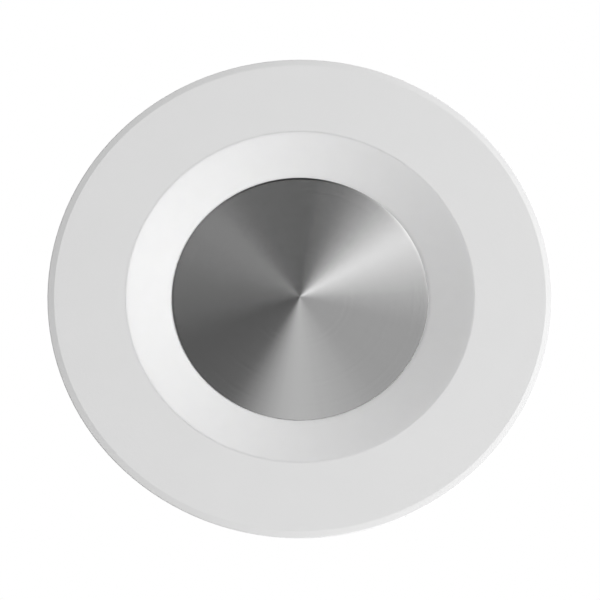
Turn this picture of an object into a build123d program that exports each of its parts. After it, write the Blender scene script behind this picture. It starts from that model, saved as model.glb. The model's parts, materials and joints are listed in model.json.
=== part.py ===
from build123d import *
import os
from math import acos, atan2, cos, hypot, pi, radians, sin, sqrt

# Recessed wall light: a white trim, a dished opal ring with LEDs behind it round a turned metal cap,
# a finned body that goes into the wall, a driver case behind it and two sprung clips.
# Frame in millimetres: +Z up, the light faces -Y, and Y = 0 is the wall behind the flange's gasket.
# A depth is a Y value: negative in the room, positive inside the wall.

# Trim ring
recess_diameter = 62.4
ledge_width = 1.6
ledge_depth = 1.65
ledge_thickness = 1.25
spigot_step = 0.2
spigot_wall = 2.0
spigot_depth = 7.0
flange_overlap = 12.0
flange_proud = 3.0
bevel_width = 1.2
bevel_height = 0.2
edge_land = 0.2
skirt_wall = 0.9
skirt_taper = 0.85
skirt_lift = 0.25
edge_round = 0.5
outer_round = 0.2

# Wall gasket
gasket_thickness = 0.8
gasket_gap = 2.0

# Light ring: dished diffuser, its seal, the LEDs and their board
aperture_diameter = 45.8
dish_depth = 1.6
dish_reveal = 0.02
diffuser_gap = 0.05
diffuser_seat_wall = 1.3
diffuser_seal_thickness = 0.4
chip_count = 24
chip_width = 3.5
chip_depth = 2.8
chip_height = 0.8
chip_headroom = 1.4
chip_setback = 0.8
board_bore = 24.0
board_thickness = 1.0
pad_thickness = 0.5

# Metal cap and its stud
cap_gap = 0.1
cap_rise = 1.0
rim_thickness = 0.5
rim_bevel_width = 0.4
rim_bevel_depth = 0.15
seat_width = 1.5
cap_boss_thickness = 1.3
stud_flange_diameter = 8.0
stud_flange_thickness = 0.8
stud_diameter = 4.0
stud_tail = 1.2
nut_across_flats = 7.0
nut_thickness = 3.2
washer_diameter = 9.0
washer_thickness = 0.8

# Heat sink
sink_flange_thickness = 3.0
sink_base_web = 2.0
hub_diameter = 28.0
hub_bore_diameter = 14.0
fin_count = 24
fin_thickness = 1.3
fin_inset = 1.5
fin_taper_width = 2.0
fin_taper_depth = 4.0
groove_width = 0.8
groove_depth = 0.8
groove_inset = 0.5

# Screws: metric cap screws with round heads and hexagon sockets
body_screw_count = 3
body_screw_thread = 2.5
body_screw_bite = 6.0
boss_diameter = 4.6
boss_merge = 0.4
case_screw_count = 3
case_screw_thread = 3.0
case_screw_bite = 7.0
case_screw_circle_diameter = 36.0
case_post_diameter = 7.0
cover_screw_count = 3
cover_screw_thread = 2.5
cover_screw_bite = 7.0
small_screw_thread = 2.0
small_screw_bite = 4.0
bracket_screw_thread = 3.0
bracket_screw_bite = 6.0
head_ratio = 1.75
head_height_ratio = 0.55
socket_ratio = 0.6
socket_depth_ratio = 0.35

# Driver case, rear cover and their gasket
case_wall = 1.6
case_floor = 1.8
case_round = 1.0
cover_boss_diameter = 5.0
cover_boss_merge = 0.6
cover_gasket_thickness = 0.6
cover_thickness = 3.0
cover_round = 1.0
cover_pad_diameter = 20.0
cover_pad_height = 0.8

# Driver board and what stands on it, placed by X and Z from the axis
driver_board_thickness = 1.6
driver_board_lift = 3.6
post_diameter = 4.4
post_inset = 4.2
terminal_offset = 0.0
terminal_inset = 11.1
terminal_width = 11.0
terminal_breadth = 8.0
terminal_height = 9.0
terminal_pitch = 5.0
terminal_screw_thread = 2.5
terminal_screw_length = 4.0
terminal_entry = 3.0
transformer_place = (-9.0, 6.5)
transformer_width = 13.0
transformer_breadth = 12.0
transformer_height = 11.0
transformer_yoke = 3.0
coil_diameter = 10.0
capacitor_place = (10.5, 9.5)
capacitor_diameter = 8.0
capacitor_height = 11.0
film_place = (12.0, -3.0)
film_width = 6.0
film_breadth = 10.0
film_height = 9.0
rectifier_place = (-14.0, -6.0)
rectifier_width = 6.0
rectifier_breadth = 5.0
rectifier_height = 2.5
fuse_place = (-9.0, -12.0)
fuse_diameter = 4.0
fuse_height = 6.0

# LED leads
lead_diameter = 1.1
lead_hub_gap = 1.45
lead_spread = 60.0

# Cable gland
gland_thread = 12.0
gland_bore = 7.0
gland_across_flats = 15.0
gland_hex_height = 4.0
gland_inner_length = 4.5
gland_outer_length = 6.5
gland_washer_diameter = 17.0
gland_washer_thickness = 1.0
locknut_across_flats = 16.0
locknut_height = 3.0
gland_seal_bore = 6.0
gland_seal_wall = 1.5
gland_seal_length = 6.0
gland_nut_wall = 1.4
gland_nut_cap = 1.6
gland_nut_mouth = 7.4
gland_nut_gap = 0.6
gland_nut_round = 1.2

# Sprung clips
least_wall = 2.4
clip_rest_angle = 45.0
clip_arm_length = 17.0
clip_sheet = 1.0
clip_inset = 3.2
clip_seat_drop = 4.8
knuckle_diameter = 4.4
rail_width = 1.6
window_length = 4.6
window_width = 6.4
pin_diameter = 2.5
pin_head_diameter = 3.8
pin_head_height = 0.8
bracket_sheet = 1.0
bracket_reach = 2.2
bracket_tail = 11.5
bracket_screw_back = 8.2
bracket_ear_back = 2.6
bracket_ear_round = 2.0
tip_length = 7.0
tip_end = 0.8
tip_wall = 1.0
tip_cheek = 0.6
tip_round = 0.6
wire_diameter = 0.8
coil_mean_diameter = 4.0
coil_turns = 3
coil_pitch = 1.3
fixed_leg_back = 5.0
arm_leg_reach = 9.0
pocket_margin = 3.3

# Clearances
fit = 0.2
thread_fit = 0.05
running_fit = 0.05
pin_fit = 0.03
spring_seat_gap = 0.2
stop_gap = 0.3
fold_gap = 0.9
bench_gap = 0.5
match_gap = 0.0001

os.makedirs("parts", exist_ok=True)

# Radii, from the hole outwards
aperture_radius = aperture_diameter / 2
recess_radius = recess_diameter / 2
ledge_inner = recess_radius - ledge_width
spigot_inner = recess_radius - spigot_step
spigot_radius = spigot_inner + spigot_wall
trim_radius = spigot_radius + flange_overlap
skirt_radius = trim_radius - skirt_taper
skirt_inner = skirt_radius - skirt_wall
plug_radius = spigot_inner - fit
diffuser_outer = recess_radius - diffuser_gap
cap_radius = aperture_radius - cap_gap
seat_inner = cap_radius - seat_width
boss_radius = boss_diameter / 2
boss_circle = spigot_inner - boss_radius + boss_merge
board_inner = board_bore / 2
board_outer = boss_circle - boss_radius - 2 * fit
chip_circle = board_outer - chip_setback - chip_depth / 2
lead_radius = lead_diameter / 2
sink_flange_radius = spigot_radius - thread_fit * 2
hub_radius = hub_diameter / 2
hub_bore_radius = hub_bore_diameter / 2
hub_middle = (hub_radius + hub_bore_radius) / 2
fin_radius = spigot_radius - fin_inset
lead_ring_radius = hub_radius + lead_hub_gap + lead_radius

# Depths, from the room into the wall
front_face = -flange_proud
ledge_front = front_face + ledge_depth
ledge_back = ledge_front + ledge_thickness
gasket_seat = -gasket_thickness
rim_level = front_face + dish_depth
rim_back = rim_level + rim_thickness
diffuser_edge = front_face + dish_reveal
diffuser_rest = ledge_front - diffuser_seal_thickness
diffuser_back = rim_back + diffuser_seat_wall
apex_level = rim_level - cap_rise
cap_boss_level = apex_level + cap_boss_thickness
board_front = diffuser_back + chip_headroom + chip_height
board_back = board_front + board_thickness
plug_face = board_back + pad_thickness
sink_flange_back = spigot_depth + sink_flange_thickness
sink_base_back = sink_flange_back + sink_base_web
nut_seat = sink_base_back + washer_thickness

# Clip sizes, in the plane of the arm and about its pin
rest = radians(clip_rest_angle)
half_sheet = clip_sheet / 2
tip_half = half_sheet + tip_wall
tip_far = clip_arm_length + tip_end
arm_half_width = window_width / 2 + rail_width
pivot_radius = spigot_radius - clip_inset
pivot_depth = least_wall + tip_far * sin(rest) + tip_half * cos(rest)
clip_seat = pivot_radius - clip_seat_drop
bracket_face = clip_seat + bracket_sheet
bracket_outer = pivot_radius + bracket_reach
bracket_inner_half = arm_half_width + 2 * fit
bracket_half = bracket_inner_half + bracket_sheet
stop_back = pivot_depth - (half_sheet + stop_gap + bracket_reach * sin(rest)) / cos(rest)
bracket_front = stop_back - bracket_sheet
bracket_end = pivot_depth + bracket_tail
pin_radius = pin_diameter / 2

# Depths behind the clips, and the driver case's radii
sink_end = bracket_end + bench_gap
case_front = sink_end
driver_board_front = case_front + case_floor + driver_board_lift
driver_board_back = driver_board_front + driver_board_thickness
tallest_part = max(transformer_height, capacitor_height, film_height, terminal_height, fuse_height)
cover_front = driver_board_back + tallest_part + bench_gap + gland_inner_length
case_back = cover_front - cover_gasket_thickness
cover_back = cover_front + cover_thickness
case_radius = pivot_radius - tip_half - fold_gap
case_inner = case_radius - case_wall
driver_board_radius = case_inner - fit
terminal_place = (terminal_offset, terminal_inset - driver_board_radius)
cover_boss_radius = cover_boss_diameter / 2
cover_boss_circle = case_inner - cover_boss_radius + cover_boss_merge
post_circle = case_inner - post_inset

# Places of repeated features, counted from +X towards +Z as the viewer sees them
chip_places = PolarLocations(chip_circle, chip_count, start_angle=180 / chip_count)
fin_places = PolarLocations((hub_middle + fin_radius) / 2, fin_count, start_angle=180 / fin_count)
boss_places = PolarLocations(boss_circle, body_screw_count, start_angle=90)
case_screw_places = PolarLocations(case_screw_circle_diameter / 2, case_screw_count, start_angle=30)
cover_screw_places = PolarLocations(cover_boss_circle, cover_screw_count, start_angle=90)
post_places = PolarLocations(post_circle, 2)
lead_angles = {"led_lead_red": 90 - lead_spread / 2, "led_lead_black": 90 + lead_spread / 2}
lead_places = PolarLocations(
    lead_ring_radius, 2, start_angle=90 - lead_spread / 2, angular_range=2 * lead_spread
)
axis_place = Locations((0, 0))


def across(depth):
    """Plane parallel to the wall at a depth, facing the room, with X to the right and Z up."""
    return Plane.XZ.offset(-depth)


def turned(*corners):
    """Half-section of a turned piece, from pairs of radius and depth."""
    with BuildSketch() as section:
        with BuildLine():
            Polyline(*corners, close=True)
        make_face()
    return section.sketch


def ring(inner, outer, front, back):
    """Half-section of a plain ring about the light's axis."""
    return turned((inner, front), (outer, front), (outer, back), (inner, back))


def corner(section, radius, depth):
    """The corner of a half-section nearest to a radius and depth."""
    return section.vertices().sort_by_distance((radius, depth, 0))[0]


def dots(depth, places, radius):
    """Equal circles at the given places of a plane parallel to the wall."""
    with BuildSketch(across(depth)) as pattern:
        with places:
            Circle(radius)
    return pattern.sketch


def bars(depth, places, length, breadth):
    """Equal rectangles at the given places of a plane parallel to the wall."""
    with BuildSketch(across(depth)) as pattern:
        with places:
            Rectangle(length, breadth)
    return pattern.sketch


def hexes(depth, places, across_flats):
    """Equal hexagons at the given places of a plane parallel to the wall."""
    with BuildSketch(across(depth)) as pattern:
        with places:
            RegularPolygon(across_flats / 2, 6, major_radius=False)
    return pattern.sketch


def rims(piece, radius, depth):
    """Round edges of a piece about the Y direction, by their radius and depth."""
    def is_rim(edge):
        return abs(edge.radius - radius) < match_gap and abs(edge.arc_center.Y - depth) < match_gap
    return piece.edges().filter_by(GeomType.CIRCLE).filter_by(is_rim)


def cap_screws(seat, places, thread, length):
    """Socket screws whose heads stand behind a seat plane and whose shanks follow its normal."""
    head_height = thread * head_height_ratio
    with BuildPart() as screws:
        with BuildSketch(seat):
            with places:
                Circle(thread / 2)
        extrude(amount=length)
        with BuildSketch(seat):
            with places:
                Circle(thread * head_ratio / 2)
        extrude(amount=-head_height)
        with BuildSketch(seat.offset(-head_height)):
            with places:
                RegularPolygon(thread * socket_ratio / 2, 6, major_radius=False)
        extrude(amount=thread * socket_depth_ratio, mode=Mode.SUBTRACT)
    return screws


def screw_hole(thread):
    """Radius of the hole that a screw's thread runs in."""
    return thread / 2 + thread_fit


# White trim: flange, bevel, ledge and spigot in one casting
with BuildPart() as trim_ring:
    with BuildSketch() as trim_section:
        with BuildLine():
            Polyline(
                (recess_radius, front_face),
                (trim_radius - bevel_width, front_face),
                (trim_radius, front_face + bevel_height),
                (trim_radius, front_face + bevel_height + edge_land),
                (skirt_radius, -skirt_lift),
                (skirt_inner, -skirt_lift),
                (skirt_inner, gasket_seat),
                (spigot_radius, gasket_seat),
                (spigot_radius, spigot_depth),
                (spigot_inner, spigot_depth),
                (spigot_inner, ledge_back),
                (ledge_inner, ledge_back),
                (ledge_inner, ledge_front),
                (recess_radius, ledge_front),
                close=True,
            )
        make_face()
        fillet(corner(trim_section, trim_radius - bevel_width, front_face), edge_round)
        fillet(corner(trim_section, trim_radius, front_face + bevel_height), outer_round)
    revolve(axis=Axis.Y)
    extrude(dots(spigot_depth, boss_places, boss_radius), amount=spigot_depth - ledge_back)
    extrude(
        dots(spigot_depth, boss_places, screw_hole(body_screw_thread)),
        amount=body_screw_bite + bench_gap,
        mode=Mode.SUBTRACT,
    )

# Foam gasket between flange and wall
with BuildPart() as wall_gasket:
    revolve(ring(spigot_radius + gasket_gap, skirt_inner - fit, gasket_seat, 0), axis=Axis.Y)

# Opal dish in the trim's recess, with a seat for the cap round its hole, and the seal on the trim's ledge
with BuildPart() as diffuser_ring:
    revolve(
        turned(
            (seat_inner, rim_back),
            (aperture_radius, rim_back),
            (aperture_radius, rim_level),
            (diffuser_outer, diffuser_edge),
            (diffuser_outer, diffuser_rest),
            (ledge_inner - fit, diffuser_rest),
            (seat_inner, diffuser_back),
        ),
        axis=Axis.Y,
    )

with BuildPart() as diffuser_seal:
    revolve(ring(ledge_inner + fit, diffuser_outer - fit, diffuser_rest, ledge_front), axis=Axis.Y)

# Turned cap, its tip to the room, with a bevelled rim, a flat seat behind it and a boss for the stud
with BuildPart() as front_cap:
    revolve(
        turned(
            (0, apex_level),
            (cap_radius - rim_bevel_width, rim_level),
            (cap_radius, rim_level + rim_bevel_depth),
            (cap_radius, rim_back),
            (seat_inner, rim_back),
            (stud_flange_diameter / 2, cap_boss_level),
            (0, cap_boss_level),
        ),
        axis=Axis.Y,
    )

# Stud on the cap's back, with its washer and nut in the heat sink's hub
stud_end = nut_seat + nut_thickness + stud_tail
stud_flange_back = cap_boss_level + stud_flange_thickness
with BuildPart() as cap_stud:
    revolve(
        turned(
            (0, cap_boss_level),
            (stud_flange_diameter / 2, cap_boss_level),
            (stud_flange_diameter / 2, stud_flange_back),
            (stud_diameter / 2, stud_flange_back),
            (stud_diameter / 2, stud_end),
            (0, stud_end),
        ),
        axis=Axis.Y,
    )
    chamfer(rims(cap_stud, stud_diameter / 2, stud_end), length=fit * 2)

with BuildPart() as cap_washer:
    revolve(ring(stud_diameter / 2 + fit, washer_diameter / 2, sink_base_back, nut_seat), axis=Axis.Y)

with BuildPart() as cap_nut:
    extrude(hexes(nut_seat + nut_thickness, axis_place, nut_across_flats), amount=nut_thickness)
    extrude(
        dots(nut_seat + nut_thickness, axis_place, screw_hole(stud_diameter)),
        amount=nut_thickness,
        mode=Mode.SUBTRACT,
    )

# LED board, its pad and the LEDs that shine forwards through the opal dish
with BuildPart() as led_board:
    revolve(ring(board_inner, board_outer, board_front, board_back), axis=Axis.Y)
    extrude(dots(board_back, lead_places, lead_radius + fit), amount=board_thickness, mode=Mode.SUBTRACT)

with BuildPart() as thermal_pad:
    revolve(ring(board_inner, board_outer, board_back, plug_face), axis=Axis.Y)
    extrude(dots(plug_face, lead_places, lead_radius + fit), amount=pad_thickness, mode=Mode.SUBTRACT)

with BuildPart() as led_chips:
    extrude(bars(board_front, chip_places, chip_depth, chip_width), amount=chip_height)

# Heat sink: plug, flange, hub and fins, with flats and pockets for the clips at its sides
fin_length = fin_radius - hub_middle
block_length = clip_seat - hub_middle
block_places = Locations(*[(side * (clip_seat - block_length / 2), 0) for side in (1, -1)])
pocket_length = spigot_radius + bench_gap - clip_seat
pocket_places = Locations(*[(side * (clip_seat + pocket_length / 2), 0) for side in (1, -1)])
groove_outer = spigot_radius - groove_inset
bracket_screw_depth = pivot_depth + bracket_screw_back
side_seats = {
    "right": Plane((bracket_face, bracket_screw_depth, 0), x_dir=(0, 1, 0), z_dir=(-1, 0, 0)),
    "left": Plane((-bracket_face, bracket_screw_depth, 0), x_dir=(0, 1, 0), z_dir=(1, 0, 0)),
}
with BuildPart() as heat_sink:
    revolve(
        turned(
            (stud_diameter / 2 + fit, plug_face),
            (plug_radius, plug_face),
            (plug_radius, spigot_depth),
            (sink_flange_radius, spigot_depth),
            (sink_flange_radius, sink_flange_back),
            (hub_radius, sink_flange_back),
            (hub_radius, sink_end),
            (hub_bore_radius, sink_end),
            (hub_bore_radius, sink_base_back),
            (stud_diameter / 2 + fit, sink_base_back),
        ),
        axis=Axis.Y,
    )
    extrude(bars(sink_end, fin_places, fin_length, fin_thickness), amount=sink_end - sink_flange_back)
    extrude(dots(sink_end, case_screw_places, case_post_diameter / 2), amount=sink_end - sink_flange_back)
    extrude(
        bars(sink_end, block_places, block_length, 2 * bracket_half + 2 * fit),
        amount=sink_end - sink_flange_back,
    )
    extrude(
        bars(sink_end, pocket_places, pocket_length, 2 * (bracket_half + pocket_margin)),
        amount=sink_end - sink_flange_back,
        mode=Mode.SUBTRACT,
    )
    extrude(
        dots(sink_end, boss_places, body_screw_thread * head_ratio / 2 + bench_gap),
        amount=sink_end - sink_flange_back,
        mode=Mode.SUBTRACT,
    )
    extrude(
        dots(sink_flange_back, boss_places, screw_hole(body_screw_thread)),
        amount=sink_flange_thickness,
        mode=Mode.SUBTRACT,
    )
    extrude(
        dots(spigot_depth, boss_places, boss_radius + fit),
        amount=spigot_depth - plug_face,
        mode=Mode.SUBTRACT,
    )
    extrude(
        dots(sink_end, case_screw_places, screw_hole(case_screw_thread)),
        amount=case_screw_bite + bench_gap,
        mode=Mode.SUBTRACT,
    )
    extrude(
        dots(sink_flange_back, lead_places, lead_radius + fit),
        amount=sink_flange_back - plug_face,
        mode=Mode.SUBTRACT,
    )
    revolve(
        ring(groove_outer - groove_width, groove_outer, spigot_depth, spigot_depth + groove_depth),
        axis=Axis.Y,
        mode=Mode.SUBTRACT,
    )
    revolve(
        turned(
            (fin_radius + bench_gap, sink_end - fin_taper_depth),
            (fin_radius, sink_end - fin_taper_depth),
            (fin_radius - fin_taper_width, sink_end),
            (fin_radius - fin_taper_width, sink_end + bench_gap),
            (fin_radius + bench_gap, sink_end + bench_gap),
        ),
        axis=Axis.Y,
        mode=Mode.SUBTRACT,
    )
    for seat in side_seats.values():
        with BuildSketch(seat):
            Circle(screw_hole(bracket_screw_thread))
        extrude(amount=bracket_sheet + bracket_screw_bite, mode=Mode.SUBTRACT)

with BuildPart() as body_seal:
    seal_depth = spigot_depth + groove_depth
    revolve(ring(groove_outer - groove_width, groove_outer, spigot_depth, seal_depth), axis=Axis.Y)

body_screws = cap_screws(
    across(sink_flange_back), boss_places, body_screw_thread, sink_flange_thickness + body_screw_bite
)

# Driver case: a cup behind the heat sink, open at the back
case_inside = case_front + case_floor
with BuildPart() as driver_case:
    revolve(
        turned(
            (0, case_front),
            (case_radius, case_front),
            (case_radius, case_back),
            (case_inner, case_back),
            (case_inner, case_inside),
            (0, case_inside),
        ),
        axis=Axis.Y,
    )
    fillet(rims(driver_case, case_radius, case_front), case_round)
    extrude(dots(case_back, cover_screw_places, cover_boss_radius), amount=case_back - case_inside)
    extrude(dots(driver_board_front, post_places, post_diameter / 2), amount=driver_board_lift)
    extrude(
        dots(case_back, cover_screw_places, screw_hole(cover_screw_thread)),
        amount=cover_screw_bite + bench_gap,
        mode=Mode.SUBTRACT,
    )
    extrude(
        dots(driver_board_front, post_places, screw_hole(small_screw_thread)),
        amount=small_screw_bite + bench_gap,
        mode=Mode.SUBTRACT,
    )
    extrude(
        dots(case_inside, case_screw_places, screw_hole(case_screw_thread)),
        amount=case_floor,
        mode=Mode.SUBTRACT,
    )
    extrude(dots(case_inside, lead_places, lead_radius + fit), amount=case_floor, mode=Mode.SUBTRACT)

case_screws = cap_screws(
    across(case_inside), case_screw_places, case_screw_thread, case_floor + case_screw_bite
)

# Driver board with its parts, all standing on the side away from the room
with BuildPart() as driver_board:
    extrude(dots(driver_board_back, axis_place, driver_board_radius), amount=driver_board_thickness)
    extrude(
        dots(driver_board_back, cover_screw_places, cover_boss_radius + fit),
        amount=driver_board_thickness,
        mode=Mode.SUBTRACT,
    )
    extrude(
        dots(driver_board_back, post_places, screw_hole(small_screw_thread)),
        amount=driver_board_thickness,
        mode=Mode.SUBTRACT,
    )
    extrude(
        dots(driver_board_back, lead_places, lead_radius + fit),
        amount=driver_board_thickness,
        mode=Mode.SUBTRACT,
    )

board_screws = cap_screws(
    across(driver_board_back), post_places, small_screw_thread, driver_board_thickness + small_screw_bite
)

transformer_top = driver_board_back + transformer_height
transformer_spot = Locations(transformer_place)
coil_top = transformer_top - transformer_yoke
coil_length = transformer_height - 2 * transformer_yoke
with BuildPart() as transformer_core:
    extrude(
        bars(transformer_top, transformer_spot, transformer_width, transformer_breadth),
        amount=transformer_height,
    )
    extrude(
        bars(coil_top, transformer_spot, coil_diameter + 2 * fit, transformer_breadth),
        amount=coil_length,
        mode=Mode.SUBTRACT,
    )

with BuildPart() as transformer_coil:
    extrude(dots(coil_top, transformer_spot, coil_diameter / 2), amount=coil_length)

with BuildPart() as bulk_capacitor:
    capacitor_top = driver_board_back + capacitor_height
    extrude(dots(capacitor_top, Locations(capacitor_place), capacitor_diameter / 2), amount=capacitor_height)
    fillet(rims(bulk_capacitor, capacitor_diameter / 2, capacitor_top), edge_round)

with BuildPart() as film_capacitor:
    extrude(
        bars(driver_board_back + film_height, Locations(film_place), film_width, film_breadth),
        amount=film_height,
    )
    fillet(film_capacitor.edges().filter_by(Axis.Y), edge_round)

with BuildPart() as rectifier:
    rectifier_top = driver_board_back + rectifier_height
    extrude(
        bars(rectifier_top, Locations(rectifier_place), rectifier_width, rectifier_breadth),
        amount=rectifier_height,
    )

with BuildPart() as fuse:
    fuse_top = driver_board_back + fuse_height
    extrude(dots(fuse_top, Locations(fuse_place), fuse_diameter / 2), amount=fuse_height)

# Terminal block: a screw over each pole and an entry for each wire from below
terminal_top = driver_board_back + terminal_height
terminal_poles = Locations(
    *[(terminal_place[0] + side * terminal_pitch / 2, terminal_place[1]) for side in (1, -1)]
)
with BuildPart() as terminal_block:
    extrude(
        bars(terminal_top, Locations(terminal_place), terminal_width, terminal_breadth),
        amount=terminal_height,
    )
    extrude(
        dots(terminal_top, terminal_poles, terminal_screw_thread * head_ratio / 2 + fit),
        amount=terminal_screw_thread * head_height_ratio + fit,
        mode=Mode.SUBTRACT,
    )
    extrude(
        dots(terminal_top, terminal_poles, screw_hole(terminal_screw_thread)),
        amount=terminal_screw_thread * head_height_ratio + fit + terminal_screw_length,
        mode=Mode.SUBTRACT,
    )
    with BuildSketch(Plane.XY.offset(terminal_place[1])):
        with Locations(*[
            (terminal_place[0] + side * terminal_pitch / 2, driver_board_back + terminal_entry)
            for side in (1, -1)
        ]):
            Circle(terminal_entry / 2)
    extrude(amount=-terminal_breadth / 2, mode=Mode.SUBTRACT)

terminal_screws = cap_screws(
    across(terminal_top - terminal_screw_thread * head_height_ratio - fit),
    terminal_poles,
    terminal_screw_thread,
    terminal_screw_length - fit,
)

# LED leads: stiff wires straight from the driver board through the heat sink to the LED board
leads = {}
for lead_name, lead_angle in lead_angles.items():
    with BuildPart() as lead:
        extrude(
            dots(driver_board_back, PolarLocations(lead_ring_radius, 1, start_angle=lead_angle), lead_radius),
            amount=driver_board_back - board_front,
        )
    leads[lead_name] = lead

# Rear cover with its gasket
with BuildPart() as cover_gasket:
    revolve(ring(case_inner + fit, case_radius - fit, case_back, cover_front), axis=Axis.Y)

cover_pad_back = cover_back + cover_pad_height
with BuildPart() as rear_cover:
    revolve(ring(0, case_radius, cover_front, cover_back), axis=Axis.Y)
    fillet(rims(rear_cover, case_radius, cover_back), cover_round)
    extrude(dots(cover_pad_back, axis_place, cover_pad_diameter / 2), amount=cover_pad_height)
    extrude(
        dots(cover_pad_back, axis_place, screw_hole(gland_thread)),
        amount=cover_pad_back - cover_front,
        mode=Mode.SUBTRACT,
    )
    extrude(
        dots(cover_back, cover_screw_places, screw_hole(cover_screw_thread)),
        amount=cover_thickness,
        mode=Mode.SUBTRACT,
    )

cover_screws = cap_screws(
    across(cover_back),
    cover_screw_places,
    cover_screw_thread,
    cover_thickness + cover_gasket_thickness + cover_screw_bite,
)

# Cable gland: body through the cover, locknut inside, rubber and cap nut outside
gland_seat = cover_pad_back + gland_washer_thickness
gland_hex_back = gland_seat + gland_hex_height
gland_end = gland_hex_back + gland_outer_length
gland_inner_end = cover_front - gland_inner_length
gland_radius = gland_thread / 2
gland_seal_radius = gland_seal_bore / 2 + gland_seal_wall
gland_seal_front = gland_end - gland_seal_length

with BuildPart() as gland_washer:
    revolve(
        ring(gland_radius + fit, gland_washer_diameter / 2, cover_pad_back, gland_seat), axis=Axis.Y
    )

with BuildPart() as gland_body:
    extrude(dots(gland_end, axis_place, gland_radius), amount=gland_end - gland_inner_end)
    extrude(hexes(gland_hex_back, axis_place, gland_across_flats), amount=gland_hex_height)
    extrude(
        dots(gland_end, axis_place, gland_bore / 2), amount=gland_end - gland_inner_end, mode=Mode.SUBTRACT
    )
    extrude(
        dots(gland_end, axis_place, gland_seal_radius + fit / 2), amount=gland_seal_length, mode=Mode.SUBTRACT
    )

with BuildPart() as gland_locknut:
    extrude(hexes(cover_front, axis_place, locknut_across_flats), amount=locknut_height)
    extrude(
        dots(cover_front, axis_place, screw_hole(gland_thread)), amount=locknut_height, mode=Mode.SUBTRACT
    )

with BuildPart() as gland_seal:
    revolve(ring(gland_seal_bore / 2, gland_seal_radius, gland_seal_front, gland_end), axis=Axis.Y)

gland_nut_front = gland_hex_back + gland_nut_gap
gland_nut_back = gland_end + gland_nut_cap
gland_nut_radius = gland_radius + thread_fit + gland_nut_wall
with BuildPart() as gland_nut:
    extrude(dots(gland_nut_back, axis_place, gland_nut_radius), amount=gland_nut_back - gland_nut_front)
    fillet(rims(gland_nut, gland_nut_radius, gland_nut_back), gland_nut_round)
    extrude(
        hexes(gland_nut_back - gland_nut_round, axis_place, gland_across_flats),
        amount=gland_nut_back - gland_nut_round - gland_nut_front,
    )
    extrude(
        dots(gland_end, axis_place, screw_hole(gland_thread)),
        amount=gland_end - gland_nut_front,
        mode=Mode.SUBTRACT,
    )
    extrude(
        dots(gland_nut_back, axis_place, gland_nut_mouth / 2), amount=gland_nut_cap, mode=Mode.SUBTRACT
    )

# Right-hand clip: bracket, pin, arm, tip and spring, with the arm at rest against the wall panel
pivot = Vector(pivot_radius, pivot_depth, 0)
arm_plane = Plane(pivot, x_dir=(cos(rest), -sin(rest), 0), z_dir=(0, 0, 1))
pin_plane = Plane(pivot)

with BuildPart() as clip_bracket:
    ear_end = pivot_depth + bracket_ear_back
    with BuildSketch():
        with Locations(((clip_seat + bracket_outer) / 2, (bracket_front + ear_end) / 2)):
            Rectangle(bracket_outer - clip_seat, ear_end - bracket_front)
        with Locations((clip_seat + bracket_sheet / 2, (bracket_front + bracket_end) / 2)):
            Rectangle(bracket_sheet, bracket_end - bracket_front)
    extrude(amount=bracket_half, both=True)
    fillet(
        clip_bracket.edges().filter_by(Axis.Z).sort_by_distance((bracket_outer, ear_end, 0))[0],
        bracket_ear_round,
    )
    with BuildSketch():
        with Locations(((bracket_face + bracket_outer) / 2, (stop_back + bracket_end) / 2)):
            Rectangle(bracket_outer - bracket_face, bracket_end - stop_back)
    extrude(amount=bracket_inner_half, both=True, mode=Mode.SUBTRACT)
    with BuildSketch(pin_plane):
        Circle(pin_radius + pin_fit)
    extrude(amount=bracket_half, both=True, mode=Mode.SUBTRACT)
    with BuildSketch(side_seats["right"]):
        Circle(screw_hole(bracket_screw_thread))
    extrude(amount=bracket_sheet, mode=Mode.SUBTRACT)

bracket_screw = cap_screws(
    side_seats["right"], axis_place, bracket_screw_thread, bracket_sheet + bracket_screw_bite
)

with BuildPart() as clip_pin:
    with BuildSketch(pin_plane):
        Circle(pin_radius)
    extrude(amount=bracket_half, both=True)
    for side in (1, -1):
        with BuildSketch(pin_plane.offset(side * bracket_half)):
            Circle(pin_head_diameter / 2)
        extrude(amount=side * pin_head_height)
    fillet(
        clip_pin.edges().filter_by(GeomType.CIRCLE).group_by(Axis.Z)[0]
        + clip_pin.edges().filter_by(GeomType.CIRCLE).group_by(Axis.Z)[-1],
        pin_head_height / 2,
    )

with BuildPart() as clip_arm:
    with BuildSketch(arm_plane):
        Circle(knuckle_diameter / 2)
        with Locations((clip_arm_length / 2, 0)):
            Rectangle(clip_arm_length, clip_sheet)
    extrude(amount=arm_half_width, both=True)
    with BuildSketch(arm_plane):
        with Locations((window_length - knuckle_diameter, 0)):
            Rectangle(2 * knuckle_diameter, 2 * knuckle_diameter)
    extrude(amount=window_width / 2, both=True, mode=Mode.SUBTRACT)
    with BuildSketch(arm_plane):
        Circle(pin_radius + running_fit)
    extrude(amount=arm_half_width, both=True, mode=Mode.SUBTRACT)

with BuildPart() as clip_tip:
    sleeve_middle = tip_far - (tip_length + tip_end) / 2
    with BuildSketch(arm_plane):
        with Locations((sleeve_middle, 0)):
            RectangleRounded(tip_length + tip_end, 2 * tip_half, tip_round)
    extrude(amount=arm_half_width + tip_cheek, both=True)
    with BuildSketch(arm_plane):
        with Locations((clip_arm_length - tip_length / 2, 0)):
            Rectangle(tip_length + 2 * running_fit, clip_sheet + 2 * running_fit)
    extrude(amount=arm_half_width + running_fit, both=True, mode=Mode.SUBTRACT)

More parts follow.
